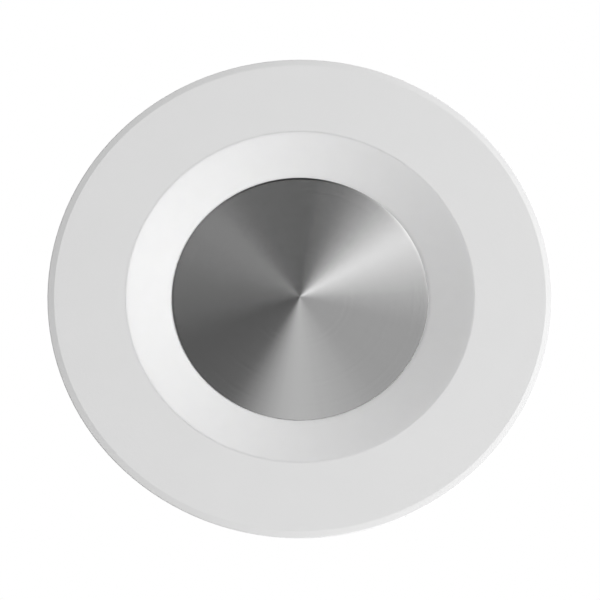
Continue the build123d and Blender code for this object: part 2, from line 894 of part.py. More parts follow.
# Torsion spring: a fixed leg on the bracket, the coil round the pin and a leg on the arm's back
coil_radius = coil_mean_diameter / 2
wire_radius = wire_diameter / 2
coil_slope = coil_pitch / (2 * pi * coil_radius)
leg_seat = half_sheet + wire_radius + spring_seat_gap
fixed_end = (bracket_face + wire_radius + spring_seat_gap - pivot_radius, fixed_leg_back)
arm_end = (
    arm_leg_reach * cos(rest) + leg_seat * sin(rest),
    leg_seat * cos(rest) - arm_leg_reach * sin(rest),
)


def leg_angle(end, side):
    """Angle about the pin at which a straight leg to an end leaves the coil."""
    return atan2(end[1], end[0]) + side * acos(coil_radius / hypot(*end))


def coil_point(angle, height):
    """Point of the coil's centre line."""
    return pivot + Vector(coil_radius * cos(angle), coil_radius * sin(angle), height)


def coil_heading(angle):
    """Unit direction in which the wire winds, clockwise as seen from above."""
    return Vector(sin(angle), -cos(angle), coil_slope).normalized()


def biarc(start, start_heading, end, end_heading):
    """Two tangent arcs that join two points with given directions."""
    chord = end - start
    both = start_heading + end_heading
    spread = 2 * (1 - start_heading.dot(end_heading))
    along = chord.dot(both)
    reach = (sqrt(along**2 + spread * chord.dot(chord)) - along) / spread
    middle = (start + end + (start_heading - end_heading) * reach) * 0.5
    first = TangentArc(start, middle, tangent=start_heading)
    TangentArc(middle, end, tangent=first % 1)


first_angle = leg_angle(fixed_end, -1)
last_angle = leg_angle(arm_end, 1) - 2 * pi * coil_turns
coil_height = (first_angle - last_angle) / (2 * pi) * coil_pitch
quarter_count = 4 * coil_turns
fixed_run = sqrt(hypot(*fixed_end) ** 2 - coil_radius**2)
arm_run = sqrt(hypot(*arm_end) ** 2 - coil_radius**2)
turn_angles = [
    first_angle + (last_angle - first_angle) * step / quarter_count for step in range(quarter_count + 1)
]
turn_points = [
    coil_point(angle, coil_height * (step / quarter_count - 0.5)) for step, angle in enumerate(turn_angles)
]
turn_headings = [coil_heading(angle) for angle in turn_angles]
wire_start = turn_points[0] - turn_headings[0] * (fixed_run * sqrt(1 + coil_slope**2))
wire_end = turn_points[-1] + turn_headings[-1] * (arm_run * sqrt(1 + coil_slope**2))

with BuildPart() as clip_spring:
    with BuildLine() as wire_route:
        Line(wire_start, turn_points[0])
        for step in range(quarter_count):
            biarc(turn_points[step], turn_headings[step], turn_points[step + 1], turn_headings[step + 1])
        Line(turn_points[-1], wire_end)
    with BuildSketch(Plane(wire_start, z_dir=turn_headings[0])):
        Circle(wire_radius)
    sweep()

sample_count = 400
wire_axis = wire_route.wires()[0]
turn_share = pi * coil_radius / wire_axis.length
samples = [wire_axis @ (step / sample_count) for step in range(sample_count + 1)]
least_gap = min(
    (one - other).length - wire_diameter
    for first, one in enumerate(samples)
    for second, other in enumerate(samples)
    if (second - first) / sample_count > turn_share
)
print(f"clip_spring: least gap to itself {least_gap:.2f} mm")

pieces = {
    "trim_ring": trim_ring,
    "wall_gasket": wall_gasket,
    "diffuser_ring": diffuser_ring,
    "diffuser_seal": diffuser_seal,
    "front_cap": front_cap,
    "cap_stud": cap_stud,
    "cap_washer": cap_washer,
    "cap_nut": cap_nut,
    "led_board": led_board,
    "led_chips": led_chips,
    "thermal_pad": thermal_pad,
    "heat_sink": heat_sink,
    "body_seal": body_seal,
    "body_screws": body_screws,
    "driver_case": driver_case,
    "case_screws": case_screws,
    "driver_board": driver_board,
    "board_screws": board_screws,
    "transformer_core": transformer_core,
    "transformer_coil": transformer_coil,
    "bulk_capacitor": bulk_capacitor,
    "film_capacitor": film_capacitor,
    "rectifier": rectifier,
    "fuse": fuse,
    "terminal_block": terminal_block,
    "terminal_screws": terminal_screws,
    "cover_gasket": cover_gasket,
    "rear_cover": rear_cover,
    "cover_screws": cover_screws,
    "gland_washer": gland_washer,
    "gland_body": gland_body,
    "gland_locknut": gland_locknut,
    "gland_seal": gland_seal,
    "gland_nut": gland_nut,
    **leads,
}

# Each clip piece is made once and mirrored to the left
clip_pieces = {
    "clip_bracket": clip_bracket,
    "bracket_screw": bracket_screw,
    "clip_pin": clip_pin,
    "clip_arm": clip_arm,
    "clip_tip": clip_tip,
    "clip_spring": clip_spring,
}
for name, piece in clip_pieces.items():
    with BuildPart() as twin:
        mirror(piece.part, about=Plane.YZ)
    pieces[f"{name}_right"] = piece
    pieces[f"{name}_left"] = twin

for name, piece in pieces.items():
    piece.part.label = name
    export_step(piece.part, f"parts/{name}.step")
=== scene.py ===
"""Looks of the recessed light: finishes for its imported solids, fuller pieces, and a plain studio."""

import json
import logging
import math
from collections.abc import Mapping, Sequence
from dataclasses import dataclass
from enum import Enum
from typing import Any

import bmesh
import bpy
from mathutils import Matrix, Vector


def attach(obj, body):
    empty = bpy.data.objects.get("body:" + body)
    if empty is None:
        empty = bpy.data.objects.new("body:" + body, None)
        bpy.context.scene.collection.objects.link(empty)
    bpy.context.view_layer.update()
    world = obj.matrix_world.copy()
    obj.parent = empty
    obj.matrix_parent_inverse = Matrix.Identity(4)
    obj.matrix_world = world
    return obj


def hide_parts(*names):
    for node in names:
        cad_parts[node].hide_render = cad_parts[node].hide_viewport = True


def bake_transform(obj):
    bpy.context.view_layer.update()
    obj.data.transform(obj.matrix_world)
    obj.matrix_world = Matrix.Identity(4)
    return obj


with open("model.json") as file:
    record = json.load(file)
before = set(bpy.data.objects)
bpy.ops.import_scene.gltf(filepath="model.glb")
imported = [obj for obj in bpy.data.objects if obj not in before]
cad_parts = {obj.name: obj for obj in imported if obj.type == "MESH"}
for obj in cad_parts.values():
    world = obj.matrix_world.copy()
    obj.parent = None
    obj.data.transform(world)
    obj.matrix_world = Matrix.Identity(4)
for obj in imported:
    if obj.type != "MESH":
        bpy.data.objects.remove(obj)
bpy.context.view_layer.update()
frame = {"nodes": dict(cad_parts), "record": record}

log = logging.getLogger("recessed_light")
MILLIMETRE = 0.001
TOLERANCE = 1e-4  # millimetres
ORIGIN = Matrix()
METAL = {"Metallic": 1.0}
Colour = tuple[float, float, float]
Point = tuple[float, float, float]
Loop = Sequence[bmesh.types.BMEdge]


class Operation(Enum):
    """Operations of a Math node that the shaders use."""

    ADD = "ADD"
    SUBTRACT = "SUBTRACT"
    MULTIPLY = "MULTIPLY"
    DIVIDE = "DIVIDE"
    GREATER = "GREATER_THAN"
    SINE = "SINE"
    ROOT = "SQRT"
    ANGLE = "ARCTAN2"
    FRACTION = "FRACT"


class Side(Enum):
    """Sides of the light that carry a clip, as signs along X."""

    RIGHT = 1
    LEFT = -1

    @property
    def word(self) -> str:
        """The side's name, as the nodes spell it."""
        return self.name.lower()


class Signal:
    """An output socket of a shader graph that takes part in Python expressions."""

    def __init__(self, graph: "Graph", socket: bpy.types.NodeSocket) -> None:
        """Keep the socket and the graph that it belongs to."""
        self.graph = graph
        self.socket = socket

    def __add__(self, other: "Signal | float") -> "Signal":
        """Sum of two values."""
        return self.graph.math(Operation.ADD, self, other)

    def __radd__(self, other: float) -> "Signal":
        """Sum of a number and this value."""
        return self.graph.math(Operation.ADD, other, self)

    def __sub__(self, other: "Signal | float") -> "Signal":
        """Difference of two values."""
        return self.graph.math(Operation.SUBTRACT, self, other)

    def __rsub__(self, other: float) -> "Signal":
        """Difference of a number and this value."""
        return self.graph.math(Operation.SUBTRACT, other, self)

    def __mul__(self, other: "Signal | float") -> "Signal":
        """Product of two values."""
        return self.graph.math(Operation.MULTIPLY, self, other)

    def __rmul__(self, other: float) -> "Signal":
        """Product of a number and this value."""
        return self.graph.math(Operation.MULTIPLY, other, self)

    def __truediv__(self, other: "Signal | float") -> "Signal":
        """Quotient of two values."""
        return self.graph.math(Operation.DIVIDE, self, other)

    def __rtruediv__(self, other: float) -> "Signal":
        """Quotient of a number and this value."""
        return self.graph.math(Operation.DIVIDE, other, self)

    def __gt__(self, other: "Signal | float") -> "Signal":
        """One where this value is the greater, zero elsewhere."""
        return self.graph.math(Operation.GREATER, self, other)


Input = Signal | float | bool | Sequence[float]


class Graph:
    """A node tree under construction, of a material or of the world."""

    def __init__(self, owner: bpy.types.Material | bpy.types.World) -> None:
        """Start from the owner's tree, emptied."""
        owner.use_nodes = True
        self.tree = owner.node_tree
        self.tree.nodes.clear()

    def node(
        self,
        kind: str,
        settings: Mapping[str, Any] | None = None,
        inputs: Mapping[str | int, Input] | None = None,
        output: str | int = 0,
    ) -> Signal | None:
        """Add a node.

        Args:
            kind: The node's type name.
            settings: Properties to set first; "stops" holds a ramp's places and grey levels.
            inputs: Values or links by the socket's name or number.
            output: Name or number of the socket that is wanted.

        Returns:
            The wanted output, or None for a node that has no outputs.
        """
        made = self.tree.nodes.new(kind)
        for name, value in (settings or {}).items():
            if name == "stops":
                self._set_stops(made.color_ramp, value)
            else:
                setattr(made, name, value)
        for name, value in (inputs or {}).items():
            if isinstance(value, Signal):
                self.tree.links.new(value.socket, made.inputs[name])
            else:
                made.inputs[name].default_value = value
        return Signal(self, made.outputs[output]) if len(made.outputs) else None

    @staticmethod
    def _set_stops(ramp: bpy.types.ColorRamp, stops: Sequence[tuple[float, float]]) -> None:
        """Give a ramp its stops.

        Args:
            ramp: The ramp, which starts with two stops.
            stops: Places along the ramp with their grey levels.
        """
        while len(ramp.elements) < len(stops):
            ramp.elements.new(1.0)
        for element, (place, grey) in zip(ramp.elements, stops):
            element.position = place
            element.color = (grey, grey, grey, 1.0)

    def math(self, operation: Operation, first: Input, second: Input = 0.0) -> Signal:
        """Add a Math node.

        Args:
            operation: What the node works out.
            first: Its first value.
            second: Its second value, where it has one.

        Returns:
            The result.
        """
        return self.node("ShaderNodeMath", {"operation": operation.value}, {0: first, 1: second})

    def place(self) -> Signal:
        """Object coordinates, which are metres in the light's own frame."""
        return self.node("ShaderNodeTexCoord", output="Object")

    def axes(self, vector: Signal | None = None) -> tuple[Signal, Signal, Signal]:
        """Split a vector into its coordinates.

        Args:
            vector: The vector, or None for the object coordinates.

        Returns:
            The coordinates along X, Y and Z.
        """
        place = vector or self.place()
        return tuple(
            self.node("ShaderNodeSeparateXYZ", inputs={0: place}, output=axis) for axis in ("X", "Y", "Z")
        )

    def reach(self, first: Signal, second: Signal) -> Signal:
        """Distance from the origin of the point that two coordinates give."""
        return self.math(Operation.ROOT, first * first + second * second)

    def radius(self) -> Signal:
        """Distance from the light's axis, in metres."""
        across, _, up = self.axes()
        return self.reach(across, up)

    def fade(self, value: Signal, start: float, end: float) -> Signal:
        """Rise softly from zero to one.

        Args:
            value: What the rise goes by.
            start: Its value where the rise starts.
            end: Its value where the rise ends.

        Returns:
            The risen share.
        """
        return self.node(
            "ShaderNodeMapRange",
            {"interpolation_type": "SMOOTHSTEP"},
            {"Value": value, "From Min": start, "From Max": end},
        )

    def noise(self, size: float, detail: float = 2.0, vector: Signal | None = None) -> Signal:
        """Add a noise over the surface.

        Args:
            size: Width of its largest spots, in millimetres.
            detail: Number of finer layers.
            vector: Coordinates to use in place of the object's.

        Returns:
            The noise, about one half on average.
        """
        return self.node(
            "ShaderNodeTexNoise",
            inputs={"Vector": vector or self.place(), "Scale": 1 / (size * MILLIMETRE), "Detail": detail},
        )

    def cells(self, size: float) -> Signal:
        """Distance to the nearest of scattered points that lie about a size in millimetres apart."""
        return self.node(
            "ShaderNodeTexVoronoi", inputs={"Vector": self.place(), "Scale": 1 / (size * MILLIMETRE)}
        )

    def rings(self, pitch: float, detail: float = 3.0) -> Signal:
        """Add a noise that changes with the distance from the light's axis only.

        Args:
            pitch: Width of its widest rings, in millimetres.
            detail: Number of finer layers.

        Returns:
            The noise, about one half on average.
        """
        return self.node(
            "ShaderNodeTexNoise",
            {"noise_dimensions": "1D"},
            {"W": self.radius() * (1 / (pitch * MILLIMETRE)), "Scale": 1.0, "Detail": detail},
        )

    def mix(self, share: Input, first: Input, second: Input) -> Signal:
        """Mix two colours.

        Args:
            share: Part of the second colour.
            first: The colour at a share of zero.
            second: The colour at a share of one.

        Returns:
            The mixed colour.
        """
        return self.node(
            "ShaderNodeMix",
            {"data_type": "RGBA"},
            {0: share, 6: self._opaque(first), 7: self._opaque(second)},
            output=2,
        )

    @staticmethod
    def _opaque(colour: Input) -> Input:
        """A colour with its alpha, or a link as it is."""
        return colour if isinstance(colour, Signal) else (*colour, 1.0)

    def bump(self, height: Signal, strength: float, depth: float) -> Signal:
        """Turn a height into a normal.

        Args:
            height: The height, from zero to one.
            strength: How much of it shows.
            depth: Depth of the full height, in millimetres.

        Returns:
            The bent normal.
        """
        return self.node(
            "ShaderNodeBump",
            inputs={"Height": height, "Strength": strength, "Distance": depth * MILLIMETRE},
        )

    def surface(self, inputs: Mapping[str | int, Input]) -> None:
        """Close a material with a Principled shader.

        Args:
            inputs: Values or links of the shader's sockets.
        """
        shader = self.node("ShaderNodeBsdfPrincipled", inputs=inputs)
        self.node("ShaderNodeOutputMaterial", inputs={"Surface": shader})


def scaled(colour: Colour, factor: float) -> Colour:
    """A colour made lighter or darker."""
    return tuple(min(channel * factor, 1.0) for channel in colour)


@dataclass(frozen=True)
class Finish:
    """A look for one of the record's material slots.

    Attributes:
        slot: The slot's name.
        colour: Its middle colour.
        roughness: Its middle roughness.
        mottle: Share by which the colour varies.
    """

    slot: str
    colour: Colour
    roughness: float
    mottle: float = 0.05

    def material(self) -> bpy.types.Material:
        """The finish's material, made when it is first asked for."""
        name = f"{self.slot}_finish"
        if name not in bpy.data.materials:
            made = bpy.data.materials.new(name)
            made.diffuse_color = (*self.colour, 1.0)
            self.paint(Graph(made))
        return bpy.data.materials[name]

    def tint(self, graph: Graph, share: Signal) -> Signal:
        """The finish's colour between its darker and lighter shade.

        Args:
            graph: The tree to add to.
            share: Part of the lighter shade.

        Returns:
            The colour.
        """
        dark = scaled(self.colour, 1 - self.mottle)
        return graph.mix(share, dark, scaled(self.colour, 1 + self.mottle))

    def lay(
        self,
        graph: Graph,
        colour: Signal,
        waver: Signal | float,
        normal: Signal,
        more: Mapping[str, Input] | None = None,
    ) -> None:
        """Close the material.

        Args:
            graph: The tree to add to.
            colour: Its colour.
            waver: What its roughness gains or loses over the surface.
            normal: Its bent normal.
            more: Other sockets of the shader, with their values.
        """
        usual = {"Base Color": colour, "Roughness": self.roughness + waver, "Normal": normal}
        graph.surface({**usual, **(more or {})})

    def paint(self, graph: Graph) -> None:
        """Fill the material's tree; each kind of finish does this in its own way."""
        raise NotImplementedError


@dataclass(frozen=True)
class PowderCoat(Finish):
    """Matt powder coat with a fine orange peel.

    Attributes:
        peel: Width of the peel's dimples, in millimetres.
        depth: Depth of the dimples, in millimetres.
    """

    peel: float = 0.55
    depth: float = 0.02

    def paint(self, graph: Graph) -> None:
        """Lay the coat, with faint specks and thicker and thinner spots.

        Args:
            graph: The material's empty tree.
        """
        peel = graph.noise(self.peel, 3.0)
        cloud = graph.noise(9.0, 2.0)
        specks = graph.noise(0.12, 1.0)
        colour = self.tint(graph, 0.5 * cloud + 0.5 * specks)
        dimples = graph.bump(peel, 0.35, self.depth)
        self.lay(graph, colour, 0.12 * (peel - 0.5), dimples, {"Specular IOR Level": 0.4})


@dataclass(frozen=True)
class TurnedMetal(Finish):
    """Metal turned on a lathe, with the marks of the tool round its axis.

    Attributes:
        feed: Width of the widest tool marks, in millimetres.
    """

    feed: float = 0.6

    def paint(self, graph: Graph) -> None:
        """Ring the surface, and let faint streaks run out from its middle.

        Args:
            graph: The material's empty tree.
        """
        across, _, up = graph.axes()
        radius = graph.radius() + 1e-6
        heading = graph.node("ShaderNodeCombineXYZ", inputs={"X": across / radius, "Y": up / radius})
        streaks = graph.node("ShaderNodeTexNoise", inputs={"Vector": heading, "Scale": 14.0, "Detail": 4.0})
        rings = graph.rings(self.feed, 5.0)
        colour = self.tint(graph, 0.55 * streaks + 0.45 * rings)
        self.lay(graph, colour, 0.06 * (rings - 0.5), graph.bump(rings, 0.04, 0.02), METAL)


@dataclass(frozen=True)
class CastMetal(Finish):
    """Die-cast and shot-blasted metal.

    Attributes:
        grain: Width of the blasted dimples, in millimetres.
    """

    grain: float = 0.3

    def paint(self, graph: Graph) -> None:
        """Blast the surface, with flow marks of the casting under it.

        Args:
            graph: The material's empty tree.
        """
        grain = graph.noise(self.grain, 3.0)
        flow = graph.noise(7.0, 4.0)
        colour = self.tint(graph, 0.6 * flow + 0.4 * grain)
        self.lay(graph, colour, 0.2 * (flow - 0.5), graph.bump(grain, 0.4, 0.03), METAL)


@dataclass(frozen=True)
class PlatedSteel(Finish):
    """Sheet steel with a bright zinc plating.

    Attributes:
        sheen: Colour that the passivated spots lean to.
    """

    sheen: Colour = (0.5, 0.52, 0.5)

    def paint(self, graph: Graph) -> None:
        """Plate the sheet, with cloudy passivation and fine rolling scratches.

        Args:
            graph: The material's empty tree.
        """
        cloud = graph.noise(3.5, 3.0)
        stretched = graph.node(
            "ShaderNodeMapping", inputs={"Vector": graph.place(), "Scale": (1.0, 1.0, 12.0)}
        )
        scratches = graph.noise(1.2, 4.0, stretched)
        colour = graph.mix(cloud, self.tint(graph, scratches), self.sheen)
        waver = 0.18 * (cloud - 0.5) + 0.08 * (scratches - 0.5)
        self.lay(graph, colour, waver, graph.bump(scratches, 0.2, 0.01), METAL)


@dataclass(frozen=True)
class DrawnSteel(Finish):
    """Hard bright steel, as of screws and springs.

    Attributes:
        grain: Width of the marks that the die left, in millimetres.
    """

    grain: float = 0.25

    def paint(self, graph: Graph) -> None:
        """Polish the steel, with die marks and a faint oily film.

        Args:
            graph: The material's empty tree.
        """
        marks = graph.noise(self.grain, 4.0)
        film = graph.noise(2.2, 2.0)
        colour = self.tint(graph, 0.5 * marks + 0.5 * film)
        waver = 0.15 * (film - 0.5) + 0.1 * (marks - 0.5)
        self.lay(graph, colour, waver, graph.bump(marks, 0.15, 0.01), METAL)


@dataclass(frozen=True)
class MouldedPlastic(Finish):
    """Plastic from a mould with a spark-eroded skin.

    Attributes:
        grain: Width of the skin's pits, in millimetres.
        depth: Depth of the pits, in millimetres.
    """

    grain: float = 0.35
    depth: float = 0.03

    def paint(self, graph: Graph) -> None:
        """Pit the skin, with slightly shinier spots where it filled last.

        Args:
            graph: The material's empty tree.
        """
        pits = graph.noise(self.grain, 2.0)
        flow = graph.noise(11.0, 2.0)
        colour = self.tint(graph, 0.5 * pits + 0.5 * flow)
        waver = 0.2 * (flow - 0.5) + 0.12 * (pits - 0.5)
        self.lay(graph, colour, waver, graph.bump(pits, 0.4, self.depth))


@dataclass(frozen=True)
class SoftRubber(Finish):
    """Rubber or silicone with a faint dusty bloom.

    Attributes:
        bloom: Colour of the dust.
    """

    bloom: Colour = (0.3, 0.3, 0.3)

    def paint(self, graph: Graph) -> None:
        """Dust the rubber unevenly.

        Args:
            graph: The material's empty tree.
        """
        dust = graph.noise(1.6, 4.0)
        skin = graph.noise(0.2, 2.0)
        colour = graph.mix(0.12 * dust, self.tint(graph, skin), self.bloom)
        self.lay(graph, colour, 0.2 * (dust - 0.5), graph.bump(skin, 0.25, 0.02))


@dataclass(frozen=True)
class CellFoam(Finish):
    """Closed-cell foam, cut from a sheet.

    Attributes:
        cell: Width of its cells, in millimetres.
    """

    cell: float = 0.55

    def paint(self, graph: Graph) -> None:
        """Open the cells at the cut face, some darker than others.

        Args:
            graph: The material's empty tree.
        """
        cells = graph.cells(self.cell)
        fine = graph.cells(self.cell * 0.45)
        hollow = 0.65 * cells + 0.35 * fine
        self.lay(graph, self.tint(graph, 1 - hollow), 0.0, graph.bump(hollow, 0.7, 0.12))


@dataclass(frozen=True)
class OpalPlastic(Finish):
    """Milky plastic that light passes through."""

    def paint(self, graph: Graph) -> None:
        """Cloud the plastic a little and let light scatter in it.

        Args:
            graph: The material's empty tree.
        """
        haze = graph.noise(2.5, 3.0)
        scatter = {
            "Subsurface Weight": 0.5,
            "Subsurface Radius": (1.0, 1.0, 0.95),
            "Subsurface Scale": 0.8 * MILLIMETRE,
        }
        self.lay(graph, self.tint(graph, haze), 0.1 * (haze - 0.5), graph.bump(haze, 0.1, 0.02), scatter)


@dataclass(frozen=True)
class BoardMask(Finish):
    """Solder mask over the copper of a circuit board.

    Attributes:
        copper: Colour of the mask where copper lies under it.
        pitch: Distance between tracks, in millimetres.
    """

    copper: Colour = (0.13, 0.4, 0.22)
    pitch: float = 2.4

    def paint(self, graph: Graph) -> None:
        """Show tracks through the mask as a slightly raised lighter pattern.

        Args:
            graph: The material's empty tree.
        """
        tracks = graph.node(
            "ShaderNodeTexBrick",
            {"offset": 0.5, "squash": 1.0},
            {
                "Vector": graph.node(
                    "ShaderNodeMapping", inputs={"Vector": graph.place(), "Rotation": (math.pi / 2, 0.0, 0.0)}
                ),
                "Color1": (1.0, 1.0, 1.0, 1.0),
                "Color2": (0.0, 0.0, 0.0, 1.0),
                "Mortar": (0.5, 0.5, 0.5, 1.0),
                "Scale": 1.0,
                "Mortar Size": 0.2 * MILLIMETRE,
                "Brick Width": 2.2 * self.pitch * MILLIMETRE,
                "Row Height": self.pitch * MILLIMETRE,
            },
            output="Color",
        )
        weave = graph.noise(0.5, 2.0)
        colour = graph.mix(tracks, self.tint(graph, weave), self.copper)
        self.lay(graph, colour, 0.15 * (weave - 0.5), graph.bump(tracks, 0.5, 0.03))


@dataclass(frozen=True)
class LightPackage(Finish):
    """White package of an LED with phosphor in the window of its face.

    Attributes:
        phosphor: Colour of the phosphor.
        face: Depth of the packages' faces, in millimetres.
        circle: Radius of the circle that they stand on, in millimetres.
        reach: How far the window reaches from that circle, in millimetres.
    """

    phosphor: Colour = (0.86, 0.62, 0.1)
    face: float = 1.8
    circle: float = 24.2
    reach: float = 1.0

    def paint(self, graph: Graph) -> None:
        """Fill a band of the face with phosphor.

        Args:
            graph: The material's empty tree.
        """
        powder = graph.noise(0.15, 2.0)
        _, depth, _ = graph.axes()
        offset = (graph.radius() - self.circle * MILLIMETRE) / (self.reach * MILLIMETRE)
        front = 1 - (depth > (self.face + 0.05) * MILLIMETRE)
        window = front * (1 - (offset * offset > 1.0))
        colour = graph.mix(window, self.tint(graph, powder), self.phosphor)
        self.lay(graph, colour, 0.2 * (powder - 0.5), graph.bump(powder, 0.2, 0.02))


@dataclass(frozen=True)
class WoundTape(Finish):
    """Tape wound round a coil, over its wire.

    Attributes:
        wire: Colour of the enamelled wire.
        pitch: Width of a turn of the tape, in millimetres.
    """

    wire: Colour = (0.5, 0.2, 0.07)
    pitch: float = 1.1

    def paint(self, graph: Graph) -> None:
        """Lap the tape's turns over each other, with wire showing darker between them.

        Args:
            graph: The material's empty tree.
        """
        _, depth, _ = graph.axes()
        turn = graph.math(Operation.SINE, depth * (2 * math.pi / (self.pitch * MILLIMETRE))) * 0.5 + 0.5
        creases = graph.noise(0.8, 3.0)
        colour = graph.mix(turn * turn * 0.5, self.tint(graph, creases), self.wire)
        laps = graph.bump(0.8 * turn + 0.2 * creases, 0.5, 0.05)
        self.lay(graph, colour, 0.2 * (creases - 0.5), laps)


FINISHES: dict[str, Finish] = {
    finish.slot: finish
    for finish in (
        PowderCoat("white_coat", (0.82, 0.82, 0.82), 0.62, 0.025),
        CellFoam("foam_rubber", (0.055, 0.055, 0.057), 0.85, 0.6),
        OpalPlastic("opal_plastic", (0.85, 0.85, 0.85), 0.45, 0.015),
        SoftRubber("seal_silicone", (0.5, 0.14, 0.1), 0.55, 0.08),
        TurnedMetal("turned_aluminium", (0.88, 0.88, 0.88), 0.14, 0.04),
        DrawnSteel("stainless_steel", (0.6, 0.59, 0.57), 0.28, 0.1),
        BoardMask("white_mask_board", (0.8, 0.8, 0.78), 0.4, 0.04, copper=(0.72, 0.72, 0.7), pitch=3.2),
        LightPackage("led_package", (0.85, 0.85, 0.83), 0.4, 0.04),
        SoftRubber("thermal_silicone", (0.42, 0.44, 0.5), 0.6, 0.06, bloom=(0.6, 0.62, 0.66)),
        MouldedPlastic("red_wire", (0.5, 0.03, 0.025), 0.4, 0.06, grain=0.2, depth=0.01),
        MouldedPlastic("black_wire", (0.03, 0.03, 0.03), 0.42, 0.1, grain=0.2, depth=0.01),
        CastMetal("cast_aluminium", (0.53, 0.53, 0.53), 0.55, 0.08),
        MouldedPlastic("case_plastic", (0.055, 0.055, 0.058), 0.5, 0.12),
        BoardMask("green_mask_board", (0.06, 0.26, 0.13), 0.35, 0.1),
        MouldedPlastic("ferrite", (0.07, 0.07, 0.075), 0.6, 0.25, grain=0.25, depth=0.05),
        WoundTape("coil_tape", (0.72, 0.52, 0.12), 0.35, 0.08),
        MouldedPlastic("capacitor_sleeve", (0.05, 0.06, 0.12), 0.3, 0.1, grain=0.6, depth=0.01),
        MouldedPlastic("film_case", (0.42, 0.33, 0.06), 0.45, 0.08, grain=0.3, depth=0.02),
        MouldedPlastic("chip_epoxy", (0.04, 0.04, 0.042), 0.5, 0.2, grain=0.18, depth=0.02),
        MouldedPlastic("fuse_body", (0.45, 0.05, 0.03), 0.4, 0.08, grain=0.3, depth=0.02),
        MouldedPlastic("terminal_plastic", (0.06, 0.28, 0.12), 0.45, 0.08),
        SoftRubber("black_rubber", (0.035, 0.035, 0.036), 0.62, 0.15),
        MouldedPlastic("gland_plastic", (0.045, 0.045, 0.047), 0.4, 0.12, grain=0.25, depth=0.02),
        PlatedSteel("zinc_steel", (0.36, 0.37, 0.37), 0.56, 0.1),
        DrawnSteel("spring_steel", (0.42, 0.42, 0.43), 0.26, 0.12, grain=0.15),
    )
}


def edges_in(items: Sequence[Any]) -> Loop:
    """The edges among what an operator made."""
    return [item for item in items if isinstance(item, bmesh.types.BMEdge)]


def show(name: str, data: bpy.types.ID) -> bpy.types.Object:
    """Put a new object into the scene, under a name and with its data."""
    made = bpy.data.objects.new(name, data)
    bpy.context.scene.collection.objects.link(made)
    return made


class Workpiece:
    """A new mesh in millimetres, from its first operator to its place on the frame."""

    def __init__(self, name: str, slot: str) -> None:
        """Start an empty mesh that will carry a slot's finish."""
        self.name = name
        self.slot = slot
        self.mesh = bmesh.new()

    def chain(self, points: Sequence[Sequence[float]], closed: bool = False) -> Loop:
        """Join a few points by edges.

        Args:
            points: The points, in order; one of two numbers lies at Z = 0.
            closed: Whether the last point joins the first.

        Returns:
            The edges.
        """
        verts = [self.mesh.verts.new((*point, 0.0)[:3]) for point in points]
        ends = verts[1:] + verts[:1] if closed else verts[1:]
        return [self.mesh.edges.new(pair) for pair in zip(verts, ends)]

    def circle(self, radius: float, sides: int, place: Matrix = ORIGIN) -> Loop:
        """Draw a circle.

        Args:
            radius: Its radius.
            sides: Number of its edges.
            place: Its place, its own axis being Z.

        Returns:
            Its edges.
        """
        made = bmesh.ops.create_circle(self.mesh, segments=sides, radius=radius, matrix=place)
        return [edge for edge in self.mesh.edges if edge.verts[0] in made["verts"]]

    def lathe(self, steps: int) -> None:
        """Spin the half-section drawn so far, by radius and depth, about the light's axis.

        Args:
            steps: Number of steps round the axis.
        """
        bmesh.ops.spin(
            self.mesh,
            geom=self.mesh.verts[:] + self.mesh.edges[:],
            cent=(0, 0, 0),
            axis=(0, 1, 0),
            angle=2 * math.pi,
            steps=steps,
            use_merge=True,
        )

    def soften(self, verts: Sequence[bmesh.types.BMVert], width: float, segments: int = 4) -> None:
        """Round corners of a section.

        Args:
            verts: The corners.
            width: Width of the rounding.
            segments: Number of its steps.
        """
        bmesh.ops.bevel(
            self.mesh,
            geom=verts,
            offset=width,
            affect="VERTICES",
            segments=segments,
            profile=0.5,
            material=-1,
        )

    def draw_out(self, edges: Loop, move: Point, scale: float | Point = 1.0) -> Loop:
        """Extrude a loop of edges.

        Args:
            edges: The loop.
            move: How far the new loop goes.
            scale: How much wider it gets about its own middle, in all directions or in each.

        Returns:
            Edges of the new loop.
        """
        made = bmesh.ops.extrude_edge_only(self.mesh, edges=edges)["geom"]
        verts = [item for item in made if isinstance(item, bmesh.types.BMVert)]
        middle = sum((vert.co for vert in verts), Vector()) / len(verts)
        bmesh.ops.translate(self.mesh, verts=verts, vec=move)
        bmesh.ops.scale(
            self.mesh,
            verts=verts,
            vec=(scale,) * 3 if isinstance(scale, float) else scale,
            space=Matrix.Translation(-(middle + Vector(move))),
        )
        loop = set(verts)
        return [edge for edge in edges_in(made) if loop.issuperset(edge.verts)]

    def cap(self, edges: Loop) -> None:
        """Close a loop of edges with a face."""
        bmesh.ops.contextual_create(self.mesh, geom=list(edges))

    def settle(self, *nodes: str, crease: float, body: str | None = "housing") -> bpy.types.Object:
        """Close the mesh and turn it into a piece of the light.

        Args:
            nodes: Nodes that the piece stands for.
            crease: Angle between two faces, in degrees, over which the edge between them stays sharp.
            body: Body that it rides on, or None to leave it on no body.

        Returns:
            The piece.
        """
        bmesh.ops.remove_doubles(self.mesh, verts=self.mesh.verts, dist=TOLERANCE)
        bmesh.ops.recalc_face_normals(self.mesh, faces=self.mesh.faces)
        for edge in self.mesh.edges:
            edge.smooth = not (edge.is_manifold and edge.calc_face_angle(0.0) > math.radians(crease))
        bmesh.ops.scale(self.mesh, verts=self.mesh.verts, vec=(MILLIMETRE,) * 3)
        for face in self.mesh.faces:
            face.smooth = True
        data = bpy.data.meshes.new(self.name)
        self.mesh.to_mesh(data)
        self.mesh.free()
        data.materials.append(FINISHES[self.slot].material())
        piece = show(self.name, data)
        if body is not None:
            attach(piece, body)
        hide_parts(*nodes)
        log.info("%s: %d faces, finish %s", self.name, len(data.polygons), self.slot)
        return piece


